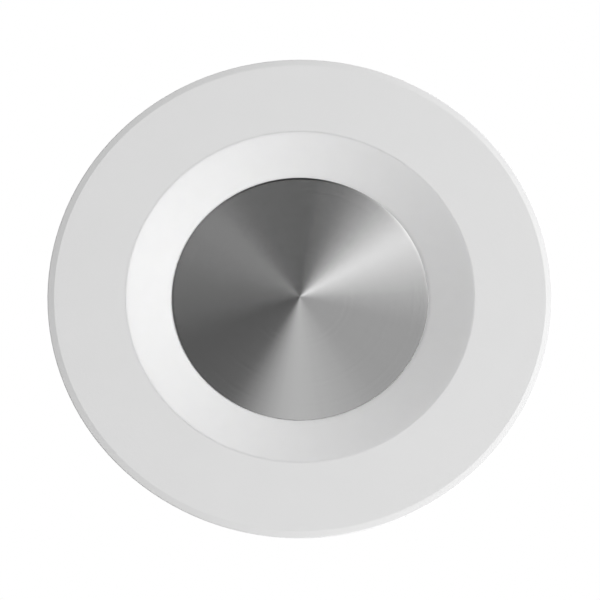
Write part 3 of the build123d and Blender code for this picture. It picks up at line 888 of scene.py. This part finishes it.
@dataclass
class FrontCap:
    """Turned metal cap in the middle of the light, a very flat cone with its tip to the room.

    Attributes:
        radius: Radius at the rim.
        bevel_width: Width of the bevel at the rim.
        bevel_depth: Depth of the bevel at the rim.
        tip_level: Depth of the tip.
        rim_level: Depth of the inner edge of the bevel.
        back_level: Depth of the seat behind the rim.
        seat_radius: Inner radius of that seat.
        boss_radius: Radius of the boss behind the tip.
        boss_level: Depth of the boss's end.
        ridge_count: Number of tool marks from tip to rim.
        ridge_lean: Share of a mark's width that its long flank takes.
        ridge_angle: Angle of the long flank, in degrees.
        steps: Number of steps round the axis.
    """

    radius: float = 22.8
    bevel_width: float = 0.4
    bevel_depth: float = 0.11
    tip_level: float = -2.4
    rim_level: float = -1.6
    back_level: float = -0.9
    seat_radius: float = 21.3
    boss_radius: float = 4.0
    boss_level: float = -1.1
    ridge_count: int = 220
    ridge_lean: float = 0.97
    ridge_angle: float = 15.0
    steps: int = 144

    def build(self) -> None:
        """Turn the cap, with each tool mark as a real step of its face."""
        cap = Workpiece("turned_cap", "turned_aluminium")
        edges = cap.chain(
            [
                (0.0, self.tip_level),
                (self.radius - self.bevel_width, self.rim_level),
                (self.radius, self.rim_level + self.bevel_depth),
                (self.radius, self.back_level),
                (self.seat_radius, self.back_level),
                (self.boss_radius, self.boss_level),
                (0.0, self.boss_level),
            ]
        )
        self._cut_ridges(cap, edges[0])
        cap.lathe(self.steps)
        cap.settle("front_cap", crease=4.0)

    def _cut_ridges(self, cap: Workpiece, flank: bmesh.types.BMEdge) -> None:
        """Step the front face from tip to rim.

        Args:
            cap: The piece, with its half-section drawn.
            flank: The straight edge of the section that is the front face.
        """
        pitch = (self.radius - self.bevel_width) / self.ridge_count
        bmesh.ops.subdivide_edges(cap.mesh, edges=[flank], cuts=2 * self.ridge_count - 1)
        slope = (self.rim_level - self.tip_level) / (self.radius - self.bevel_width)
        level = self.tip_level
        face = [vert for vert in cap.mesh.verts if abs(vert.co.y - level - slope * vert.co.x) < TOLERANCE]
        face.sort(key=lambda vert: vert.co.x)
        drop = pitch * self.ridge_lean * (math.tan(math.radians(self.ridge_angle)) - slope)
        shift = pitch * (self.ridge_lean - 0.5)
        bmesh.ops.translate(cap.mesh, verts=face[1:-1:2], vec=(shift, drop, 0.0))


@dataclass
class OpalDish:
    """Dished opal ring between the cap and the flange, flush with the flange.

    Attributes:
        inner: Radius and depth of the hole's front edge.
        outer: Radius and depth of the edge at the flange.
        ease: Radius and depth at which the slope eases off towards the flange.
        seat: Radius and depth of the inner edge of the cap's seat.
        rest: Radius and depth of the inner edge of the face on the seal.
        back_level: Depth of the back behind the seat.
        lip_round: Width of the rounding at the hole's front edge.
        ease_round: Width of the rounding where the slope eases off.
        slope_steps: Number of steps along the slope.
        steps: Number of steps round the axis.
    """

    inner: tuple[float, float] = (22.82, -1.4)
    outer: tuple[float, float] = (31.21, -2.9995)
    ease: tuple[float, float] = (30.98, -2.9995)
    seat: tuple[float, float] = (21.3, -0.9)
    rest: tuple[float, float] = (29.4, -1.75)
    back_level: float = 0.4
    lip_round: float = 0.08
    ease_round: float = 0.22
    slope_steps: int = 12
    steps: int = 192

    def build(self) -> None:
        """Turn the ring, with soft edges along its slope."""
        dish = Workpiece("opal_dish", "opal_plastic")
        dish.chain(
            [
                self.ease,
                self.inner,
                (self.inner[0], self.seat[1]),
                self.seat,
                (self.seat[0], self.back_level),
                self.rest,
                (self.outer[0], self.rest[1]),
                self.outer,
            ],
            closed=True,
        )
        ease, lip = dish.mesh.verts[:][:2]
        dish.soften([ease], self.ease_round)
        dish.soften([lip], self.lip_round)
        front = [edge for edge in dish.mesh.edges if max(vert.co.y for vert in edge.verts) < self.seat[1]]
        slope = max(front, key=bmesh.types.BMEdge.calc_length)
        bmesh.ops.subdivide_edges(dish.mesh, edges=[slope], cuts=self.slope_steps - 1)
        dish.lathe(self.steps)
        dish.settle("diffuser_ring", crease=25.0)


@dataclass
class WallGasket:
    """Foam ring between the flange and the wall.

    Attributes:
        inner: Inner radius.
        outer: Outer radius.
        front: Depth of the face on the flange.
        back: Depth of the face on the wall.
        bulge: How far the edges swell between the faces.
        steps: Number of steps round the axis.
    """

    inner: float = 35.0
    outer: float = 43.05
    front: float = -0.8
    back: float = 0.0
    bulge: float = 0.12
    steps: int = 160

    def build(self) -> None:
        """Make the ring, with swollen edges and softened rims."""
        gasket = Workpiece("foam_gasket", "foam_rubber")
        middle = (self.front + self.back) / 2
        gasket.chain(
            [
                (self.inner + self.bulge, self.front),
                (self.outer - self.bulge, self.front),
                (self.outer, middle),
                (self.outer - self.bulge, self.back),
                (self.inner + self.bulge, self.back),
                (self.inner, middle),
            ],
            closed=True,
        )
        gasket.soften(gasket.mesh.verts[:], self.bulge, segments=3)
        gasket.lathe(self.steps)
        piece = gasket.settle("wall_gasket", crease=40.0)


@dataclass
class SocketScrew:
    """Metric cap screw with a round head and a hexagon socket.

    Attributes:
        thread: Thread diameter.
        length: Length of the shank under the head.
        chamfer: Length of the chamfer at the shank's end.
        sides: Number of steps round the head.
        edge_steps: Number of steps in the rounding of the head's edge.
        head_width: Width of the head in thread diameters, as are the sizes below.
        head_height: Height of the head.
        edge_round: Radius of the head's edge.
        socket_width: Width of the socket across its flats.
        socket_depth: Depth of the socket.
        drill_depth: Depth of the drill's cone under the socket.
    """

    thread: float
    length: float
    chamfer: float = 0.3
    sides: int = 48
    edge_steps: int = 3
    head_width: float = 1.75
    head_height: float = 0.55
    edge_round: float = 0.09
    socket_width: float = 0.6
    socket_depth: float = 0.35
    drill_depth: float = 0.08

    def model(self, screws: Workpiece, seat: Matrix) -> None:
        """Make a screw in an empty piece.

        Args:
            screws: The piece.
            seat: Place of the screw, its Z axis pointing out of the head.
        """
        head = self.thread * self.head_width / 2
        height = self.thread * self.head_height
        edge = self.thread * self.edge_round
        hexagon = screws.circle(self.thread * self.socket_width / 2 / math.cos(math.pi / 6), 6)
        cuts = self.sides // 6 - 1
        socket = edges_in(bmesh.ops.subdivide_edges(screws.mesh, edges=hexagon, cuts=cuts)["geom"])
        loop = screws.circle(head - edge, self.sides)
        bmesh.ops.translate(screws.mesh, verts=screws.mesh.verts, vec=(0, 0, height))
        bmesh.ops.bridge_loops(screws.mesh, edges=socket + loop)
        floor = screws.draw_out(socket, (0, 0, -self.thread * self.socket_depth))
        screws.cap(screws.draw_out(floor, (0, 0, -self.thread * self.drill_depth), 0.2))
        step = math.pi / 2 / self.edge_steps
        for count in range(self.edge_steps):
            before, after = count * step, (count + 1) * step
            fall = edge * (math.cos(before) - math.cos(after))
            wider = (head - edge * (1 - math.sin(after))) / (head - edge * (1 - math.sin(before)))
            loop = screws.draw_out(loop, (0, 0, -fall), wider)
        loop = screws.draw_out(loop, (0, 0, edge - height))
        loop = screws.draw_out(loop, (0, 0, 0), self.thread / 2 / head)
        loop = screws.draw_out(loop, (0, 0, self.chamfer - self.length))
        screws.cap(screws.draw_out(loop, (0, 0, -self.chamfer), 0.75))
        bmesh.ops.transform(screws.mesh, matrix=seat, verts=screws.mesh.verts)


@dataclass
class Fasteners:
    """Screws that show from outside: on the body, on the rear cover and on the clips' brackets.

    Attributes:
        body_circle: Radius of the circle of the body's screws.
        body_seat: Depth under their heads.
        cover_circle: Radius of the circle of the cover's screws.
        cover_seat: Depth under their heads.
        bracket_seat: Distance from the axis under the heads of the brackets' screws.
        bracket_depth: Depth of the brackets' screws.
    """

    body_circle: float = 29.1
    body_seat: float = 10.0
    cover_circle: float = 23.9
    cover_seat: float = 54.047
    bracket_seat: float = 26.0
    bracket_depth: float = 24.247

    def build(self) -> None:
        """Make the screws."""
        self._ring("body", SocketScrew(2.5, 9.0), self.body_circle, self.body_seat)
        self._ring("cover", SocketScrew(2.5, 10.6), self.cover_circle, self.cover_seat)
        for side in Side:
            screw = Workpiece(f"clip_screw_{side.word}", "stainless_steel")
            seat = Matrix.Translation((side.value * self.bracket_seat, self.bracket_depth, 0.0))
            SocketScrew(3.0, 7.0).model(screw, seat @ Matrix.Rotation(side.value * math.pi / 2, 4, "Y"))
            screw.settle(f"bracket_screw_{side.word}", crease=35.0)

    @staticmethod
    def _ring(held: str, screw: SocketScrew, circle: float, seat: float) -> None:
        """Set three equal screws round the axis, their heads to the back.

        Args:
            held: What they hold, as the node's name starts.
            screw: The kind of screw.
            circle: Radius of the circle that they stand on.
            seat: Depth under their heads.
        """
        screws = Workpiece(f"{held}_screw_set", "stainless_steel")
        place = Matrix.Translation((0.0, seat, circle))
        screw.model(screws, place @ Matrix.Rotation(-math.pi / 2, 4, "X"))
        bmesh.ops.spin(
            screws.mesh,
            geom=screws.mesh.verts[:] + screws.mesh.edges[:] + screws.mesh.faces[:],
            cent=(0, 0, 0),
            axis=(0, 1, 0),
            angle=4 * math.pi / 3,
            steps=2,
            use_duplicate=True,
        )
        screws.settle(f"{held}_screws", crease=35.0)


@dataclass
class SpringClip:
    """Torsion spring and rubber sleeve of a sprung clip; its sheet parts are the frame's own.

    Attributes:
        side: Side of the light.
        pivot: Distance of the pin from the axis, and its depth.
        coil_radius: Mean radius of the coil.
        wire_radius: Radius of the wire.
        pitch: Rise of the coil in a turn.
        turns: Whole turns of the coil.
        fixed_end: End of the leg on the bracket, from the pin.
        arm_end: End of the leg on the arm, from the pin.
        turn_steps: Number of steps in a turn.
        wire_sides: Number of steps round the wire.
        wire_tip: Length of the rounding at the wire's ends.
        lean: Angle of the arm at rest, in degrees.
        sleeve: Thickness and width of the rubber sleeve.
        sleeve_ends: Where the sleeve starts and ends along the arm.
        slot: Thickness, width and length of the slot that the arm is pushed into.
        corner: Width of the rounding along the sleeve's edges.
        ribs: Number of grip ribs on the sleeve.
        rib_shares: Parts of a rib's pitch: its top, its flank, the groove and the next flank.
        groove: How much narrower the sleeve is between the ribs.
        sleeve_tip: Lengths of the three steps of the sleeve's rounded end.
    """

    side: Side
    pivot: tuple[float, float] = (29.8, 16.047)
    coil_radius: float = 2.0
    wire_radius: float = 0.4
    pitch: float = 1.3
    turns: int = 3
    fixed_end: tuple[float, float] = (-3.2, 5.0)
    arm_end: tuple[float, float] = (7.1418, -5.5861)
    turn_steps: int = 36
    wire_sides: int = 14
    wire_tip: float = 0.12
    lean: float = 45.0
    sleeve: tuple[float, float] = (3.0, 10.8)
    sleeve_ends: tuple[float, float] = (10.0, 17.8)
    slot: Point = (1.1, 9.7, 7.05)
    corner: float = 0.6
    ribs: int = 5
    rib_shares: tuple[float, ...] = (0.5, 0.12, 0.26, 0.12)
    groove: float = 0.4
    sleeve_tip: Point = (0.4, 0.28, 0.12)

    def build(self) -> None:
        """Make the spring and the sleeve."""
        self._spring()
        self._sleeve()

    def _sleeve(self) -> None:
        """Mould the rubber sleeve, with grip ribs round it and a slot for the arm."""
        sleeve = Workpiece(f"rubber_sleeve_{self.side.word}", "black_rubber")
        thick, wide = self.sleeve
        start, end = self.sleeve_ends
        sleeve.chain(
            [(start, y * thick / 2, z * wide / 2) for y, z in ((-1, -1), (1, -1), (1, 1), (-1, 1))],
            closed=True,
        )
        sleeve.soften(sleeve.mesh.verts[:], self.corner)
        mouth = sleeve.mesh.edges[:]
        slot = sleeve.draw_out(mouth, (0, 0, 0), (1.0, self.slot[0] / thick, self.slot[1] / wide))
        sleeve.cap(sleeve.draw_out(slot, (self.slot[2], 0, 0)))
        rib = (end - start - sum(self.sleeve_tip)) / self.ribs
        groove = (1.0, 1 - self.groove / thick, 1 - self.groove / wide)
        ridge = (1.0, 1 / groove[1], 1 / groove[2])
        loop = mouth
        for share, scale in [*zip(self.rib_shares, (1.0, groove, 1.0, ridge))] * self.ribs:
            loop = sleeve.draw_out(loop, (share * rib, 0, 0), scale)
        for length, scale in zip(self.sleeve_tip, (1.0, (1.0, 0.9, 0.97), (1.0, 0.75, 0.93))):
            loop = sleeve.draw_out(loop, (length, 0, 0), scale)
        sleeve.cap(loop)
        turn = Matrix.Rotation(-math.radians(self.lean), 4, "Z")
        place = Matrix.Translation((*self.pivot, 0.0)) @ turn
        bmesh.ops.transform(sleeve.mesh, matrix=place, verts=sleeve.mesh.verts)
        bmesh.ops.scale(sleeve.mesh, verts=sleeve.mesh.verts, vec=(self.side.value, 1, 1))
        sleeve.settle(f"clip_tip_{self.side.word}", crease=35.0, body=f"clip_{self.side.word}")

    def _spring(self) -> None:
        """Wind the spring."""
        spring = Workpiece(f"torsion_spring_{self.side.word}", "spring_steel")
        first = self._leg_angle(self.fixed_end, -1)
        last = self._leg_angle(self.arm_end, 1) - 2 * math.pi * self.turns
        rise = (first - last) / (2 * math.pi) * self.pitch
        slope = self.pitch / (2 * math.pi * self.coil_radius)
        steps = round((first - last) / (2 * math.pi) * self.turn_steps)
        start = Vector((self.coil_radius * math.cos(first), self.coil_radius * math.sin(first), -rise / 2))
        heading = Vector((math.sin(first), -math.cos(first), slope)).normalized()
        bearing = heading.to_track_quat("Z", "Y").to_matrix().to_4x4()
        near = spring.circle(self.wire_radius, self.wire_sides, Matrix.Translation(start) @ bearing)
        coil = bmesh.ops.spin(
            spring.mesh,
            geom=spring.mesh.verts[:] + near,
            cent=(0, 0, 0),
            axis=(0, 0, 1),
            dvec=(0, 0, rise / steps),
            angle=last - first,
            steps=steps,
        )["geom_last"]
        away = Vector((math.sin(last), -math.cos(last), slope)).normalized()
        stretch = math.sqrt(1 + slope**2)
        self._leg(spring, near, -heading * self._run(self.fixed_end) * stretch)
        self._leg(spring, edges_in(coil), away * self._run(self.arm_end) * stretch)
        bmesh.ops.translate(spring.mesh, verts=spring.mesh.verts, vec=(*self.pivot, 0.0))
        bmesh.ops.scale(spring.mesh, verts=spring.mesh.verts, vec=(self.side.value, 1, 1))
        piece = spring.settle(f"clip_spring_{self.side.word}", crease=50.0, body=None)
        reach = (rise / 2 - self.wire_radius) * MILLIMETRE
        -reach
        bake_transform(piece)

    def _leg_angle(self, end: tuple[float, float], way: int) -> float:
        """Angle about the pin at which a straight leg leaves the coil.

        Args:
            end: The leg's end, from the pin.
            way: Minus one for the leg before the coil, one for the leg after it.

        Returns:
            The angle.
        """
        return math.atan2(end[1], end[0]) + way * math.acos(self.coil_radius / math.hypot(*end))

    def _run(self, end: tuple[float, float]) -> float:
        """Length of a leg, seen along the pin."""
        return math.sqrt(math.hypot(*end) ** 2 - self.coil_radius**2)

    def _leg(self, spring: Workpiece, ring: Loop, run: Vector) -> None:
        """Draw a leg out of an end of the coil and round its tip.

        Args:
            spring: The piece.
            ring: Edges round the wire where the leg starts.
            run: The leg's way.
        """
        tip = run.normalized() * self.wire_tip
        loop = spring.draw_out(ring, run - tip)
        spring.cap(spring.draw_out(loop, tip, 0.6))


@dataclass
class TransformerCoil:
    """Wound coil between the transformer's yokes.

    Attributes:
        place: Place of its axis.
        radius: Radius over the turns.
        front: Depth of its first turn.
        back: Depth of its last turn.
        turns: Number of turns that show.
        turn_steps: Number of steps across a turn.
        swell: How far a turn's middle stands out.
        steps: Number of steps round its axis.
    """

    place: tuple[float, float] = (-9.0, 6.5)
    radius: float = 5.0
    front: float = 38.047
    back: float = 43.047
    turns: int = 9
    turn_steps: int = 4
    swell: float = 0.2
    steps: int = 64

    def build(self) -> None:
        """Wind the coil, each turn a rounded step."""
        coil = Workpiece("wound_coil", "coil_tape")
        pitch = (self.back - self.front) / self.turns
        valley = self.radius - self.swell
        coil.chain([(0.0, self.front), (valley, self.front), (valley, self.back), (0.0, self.back)])
        winding = coil.mesh.edges[:][1]
        bmesh.ops.subdivide_edges(coil.mesh, edges=[winding], cuts=self.turn_steps * self.turns - 1)
        for vert in coil.mesh.verts:
            if vert.co.x > self.radius / 2:
                vert.co.x += self.swell * abs(math.sin(math.pi * (vert.co.y - self.front) / pitch))
        coil.lathe(self.steps)
        bmesh.ops.translate(coil.mesh, verts=coil.mesh.verts, vec=(self.place[0], 0.0, self.place[1]))
        coil.settle("transformer_coil", crease=60.0)


@dataclass
class GlandNut:
    """Cap nut of the cable gland: a hexagon with a ribbed dome.

    Attributes:
        front: Depth of its open end.
        back: Depth of its mouth.
        across_flats: Width of the hexagon.
        shoulder: Depth at which the dome starts.
        dome_radius: Radius of the dome there.
        mouth_radius: Radius of the mouth.
        bore_radius: Radius of the thread inside.
        bore_end: Depth of the thread's end.
        chamfer: Width and depth of the chamfer at its open end.
        collar: Where the bevel under the dome starts and ends before the shoulder, and its width.
        lip: Width of the flat round the mouth.
        mouth_bevel: Where the bevel in the mouth starts and ends before the back, and its width.
        dome_step: Angle between two loops of the dome, in degrees.
        ribbed: Angles on the dome from and to which it has ribs, in degrees.
        groove: Depth of the grooves between the dome's ribs.
        sides: Number of steps round it.
    """

    front: float = 60.447
    back: float = 67.947
    across_flats: float = 15.0
    shoulder: float = 64.9
    dome_radius: float = 7.3
    mouth_radius: float = 3.7
    bore_radius: float = 6.05
    bore_end: float = 66.347
    chamfer: tuple[float, float] = (0.45, 0.4)
    collar: Point = (0.6, 0.2, 0.4)
    lip: float = 0.7
    mouth_bevel: Point = (0.15, 0.4, 0.1)
    dome_step: int = 10
    ribbed: tuple[int, int] = (20, 60)
    groove: float = 0.22
    sides: int = 96

    def build(self) -> None:
        """Draw the nut loop by loop, from the thread's start round to its end."""
        nut = Workpiece("cable_cap_nut", "gland_plastic")
        start = Matrix.Translation((0, self.front, 0)) @ Matrix.Rotation(math.pi / 2, 4, "X")
        loop = nut.circle(self.bore_radius, self.sides, start)
        bevel_start, bevel_end, bevel_width = self.collar
        for depth, inset in (
            (self.front, self.chamfer[0]),
            (self.front + self.chamfer[1], 0.0),
            (self.shoulder - bevel_start, 0.0),
            (self.shoulder - bevel_end, bevel_width),
        ):
            loop = self._step(nut, loop, depth, self.across_flats / 2 - inset, hexagon=True)
        loop = self._step(nut, loop, self.shoulder, self.dome_radius)
        rise = self.back - self.shoulder
        rim = self.mouth_radius + self.lip
        for turn in range(self.dome_step, 91, self.dome_step):
            share = math.radians(turn)
            radius = rim + (self.dome_radius - rim) * math.cos(share)
            groove = self.groove if self.ribbed[0] <= turn <= self.ribbed[1] else 0.0
            loop = self._step(nut, loop, self.shoulder + rise * math.sin(share), radius, groove)
        bevel_start, bevel_end, bevel_width = self.mouth_bevel
        for depth, radius in (
            (self.back - bevel_start, self.mouth_radius + bevel_width),
            (self.back - bevel_end, self.mouth_radius),
            (self.bore_end, self.mouth_radius),
            (self.bore_end, self.bore_radius),
            (self.front, self.bore_radius),
        ):
            loop = self._step(nut, loop, depth, radius)
        nut.settle("gland_nut", crease=28.0)

    def _step(
        self,
        nut: Workpiece,
        loop: Loop,
        depth: float,
        radius: float,
        groove: float = 0.0,
        hexagon: bool = False,
    ) -> Loop:
        """Draw the next loop.

        Args:
            nut: The piece.
            loop: The last loop.
            depth: Depth of the next one.
            radius: Its radius, or half its width across flats.
            groove: How far every other pair of points stands back, between ribs.
            hexagon: Whether it is a hexagon.

        Returns:
            Edges of the next loop.
        """
        made = nut.draw_out(loop, (0.0, 0.0, 0.0))
        for vert in {vert for edge in made for vert in edge.verts}:
            angle = math.atan2(vert.co.z, vert.co.x)
            step = round(angle / (2 * math.pi) * self.sides)
            corner = (angle + math.pi / 6) % (math.pi / 3) - math.pi / 6
            reach = radius / math.cos(corner) if hexagon else radius - (groove if step % 4 < 2 else 0.0)
            vert.co = (reach * math.cos(angle), depth, reach * math.sin(angle))
        return made


class GivenSolids:
    """Solids that keep the shape they have in the frame and only get their finish."""

    def dress(self) -> None:
        """Give each shown node the finish of its slot."""
        for part in frame["record"]["subparts"]:
            finish = FINISHES[part["material_slot"]]
            for slot in frame["nodes"][part["node"]].material_slots:
                slot.material = finish.material()
            log.info("%s: frame solid, finish %s", part["node"], finish.slot)


@dataclass
class Studio:
    """Floor, background, lamps and camera.

    Attributes:
        elevation: Height of the camera over the light's axis, in degrees.
        distance: Distance of the camera, in metres.
        scale: Image points for a millimetre of the light.
        image_width: Width of the image, in points.
        flange_level: Depth of the flange's face, in millimetres.
        aim: How far the middle of the image lies right of and below the flange's middle, in millimetres.
        floor_level: Height of the floor, in metres.
        floor_reach: How far the floor reaches, in metres.
        floor_fade: Where the floor starts and ends to fade, as shares of its reach.
        paper: Darkest and lightest grey of the floor's paper.
        background: Brightness of the white background, as it lights the light from behind.
        horizon: Depths of a direction between which the room gives way to the background.
        room: Brightness of the room on the camera's side, by the angle in degrees round the point that
            the flat of the cap would mirror, from the right round by the floor.
    """

    elevation: float = -18.7
    distance: float = 1.2
    scale: float = 5.615
    image_width: int = 600
    flange_level: float = -3.0
    aim: tuple[float, float] = (0.0, 0.8)
    floor_level: float = -2.0
    floor_reach: float = 3.5
    floor_fade: tuple[float, float] = (0.4, 0.95)
    paper: tuple[float, float] = (0.9, 0.94)
    background: float = 0.45
    horizon: tuple[float, float] = (-0.1, 0.25)
    room: tuple[tuple[int, float], ...] = (
        (0, 0.45), (15, 0.35), (50, 0.35), (92, 0.52), (100, 0.48), (122, 0.12), (165, 0.09), (225, 0.22),
        (242, 0.07), (275, 0.01), (292, 0.17), (312, 0.6), (328, 1.05), (345, 0.69), (360, 0.45),
    )

    def build(self) -> None:
        """Set up everything round the light."""
        bpy.context.scene.view_settings.view_transform = "Standard"
        self._floor()
        self._world()
        self._camera()
        self._lamp("key_softbox", (1.466, -0.6, -0.27), (1.2, 2.15), 5.95)
        self._lamp("rim_panel", (-1.591, -0.167, 0.0), (0.5, 0.8), 4.1)
        self._lamp("rear_softbox", (-0.6, 1.35, 0.6), (1.2, 1.2), 2.2)

    def _floor(self) -> None:
        """Lay a plain pale floor that fades into the background."""
        mesh = bmesh.new()
        bmesh.ops.create_grid(mesh, x_segments=8, y_segments=8, size=self.floor_reach)
        bmesh.ops.translate(mesh, verts=mesh.verts, vec=(0, 0, self.floor_level))
        data = bpy.data.meshes.new("studio_floor")
        mesh.to_mesh(data)
        mesh.free()
        paper = bpy.data.materials.new("floor_paper")
        graph = Graph(paper)
        dark, pale = ((grey,) * 3 for grey in self.paper)
        shade = graph.mix(graph.noise(4.0, 3.0), dark, pale)
        across, depth, _ = graph.axes()
        start, end = (share * self.floor_reach for share in self.floor_fade)
        fade = 1 - graph.fade(graph.reach(across, depth), start, end)
        graph.surface({"Base Color": shade, "Roughness": 0.9, "Alpha": fade})
        data.materials.append(paper)
        floor = show("studio_floor", data)

    def _world(self) -> None:
        """Make a white background behind the light, and a room in front that is unevenly bright."""
        world = bpy.data.worlds.new("studio")
        bpy.context.scene.world = world
        graph = Graph(world)
        across, depth, up = graph.axes(graph.node("ShaderNodeTexCoord", output="Generated"))
        mirrored = math.sin(-math.radians(self.elevation))
        turn = graph.math(Operation.ANGLE, mirrored - up, across) / (2 * math.pi) + 1.0
        room = graph.node(
            "ShaderNodeValToRGB",
            {"stops": [(angle / 360, level) for angle, level in self.room]},
            {"Fac": graph.math(Operation.FRACTION, turn)},
        )
        behind = graph.fade(depth, *self.horizon)
        camera, mirror, glass = (
            graph.node("ShaderNodeLightPath", output=f"Is {ray} Ray")
            for ray in ("Camera", "Glossy", "Transmission")
        )
        white = (1.0, 1.0, 1.0)
        backdrop = graph.mix(mirror + glass, (self.background,) * 3, white)
        level = graph.mix(camera, graph.mix(behind, room, backdrop), white)
        shader = graph.node("ShaderNodeBackground", inputs={"Color": level, "Strength": 1.0})
        graph.node("ShaderNodeOutputWorld", inputs={"Surface": shader})

    def _camera(self) -> None:
        """Put the camera where the photograph was taken from."""
        tilt = math.radians(self.elevation)
        ahead = Vector((0.0, math.cos(tilt), -math.sin(tilt)))
        above = Vector((0.0, math.sin(tilt), math.cos(tilt)))
        target = (Vector((self.aim[0], self.flange_level, 0.0)) - above * self.aim[1]) * MILLIMETRE
        data = bpy.data.cameras.new("camera")
        data.sensor_width = 36.0
        data.lens = self.scale / MILLIMETRE * self.distance * data.sensor_width / self.image_width
        data.clip_end = 50.0
        camera = show("camera", data)
        camera.location = target - ahead * self.distance
        camera.rotation_euler = ahead.to_track_quat("-Z", "Y").to_euler()
        bpy.context.scene.camera = camera

    def _lamp(self, name: str, place: Point, size: tuple[float, float], brightness: float) -> None:
        """Add a soft rectangular lamp that looks at the light.

        Args:
            name: Its name.
            place: Its middle, in metres.
            size: Its width and height, in metres.
            brightness: Its radiance.
        """
        data = bpy.data.lights.new(name, "AREA")
        data.shape = "RECTANGLE"
        data.size, data.size_y = size
        data.energy = brightness * math.pi * size[0] * size[1]
        lamp = show(name, data)
        lamp.location = place
        lamp.rotation_euler = (-Vector(place)).to_track_quat("-Z", "Y").to_euler()


def main() -> None:
    """Dress the light and set up the studio."""
    logging.basicConfig(level=logging.INFO, format="%(name)s: %(message)s")
    GivenSolids().dress()
    clips = (SpringClip(side) for side in Side)
    pieces = (FrontCap(), OpalDish(), WallGasket(), Fasteners(), *clips, TransformerCoil(), GlandNut())
    for assembly in (*pieces, Studio()):
        assembly.build()


if __name__ == "__main__":
    main()
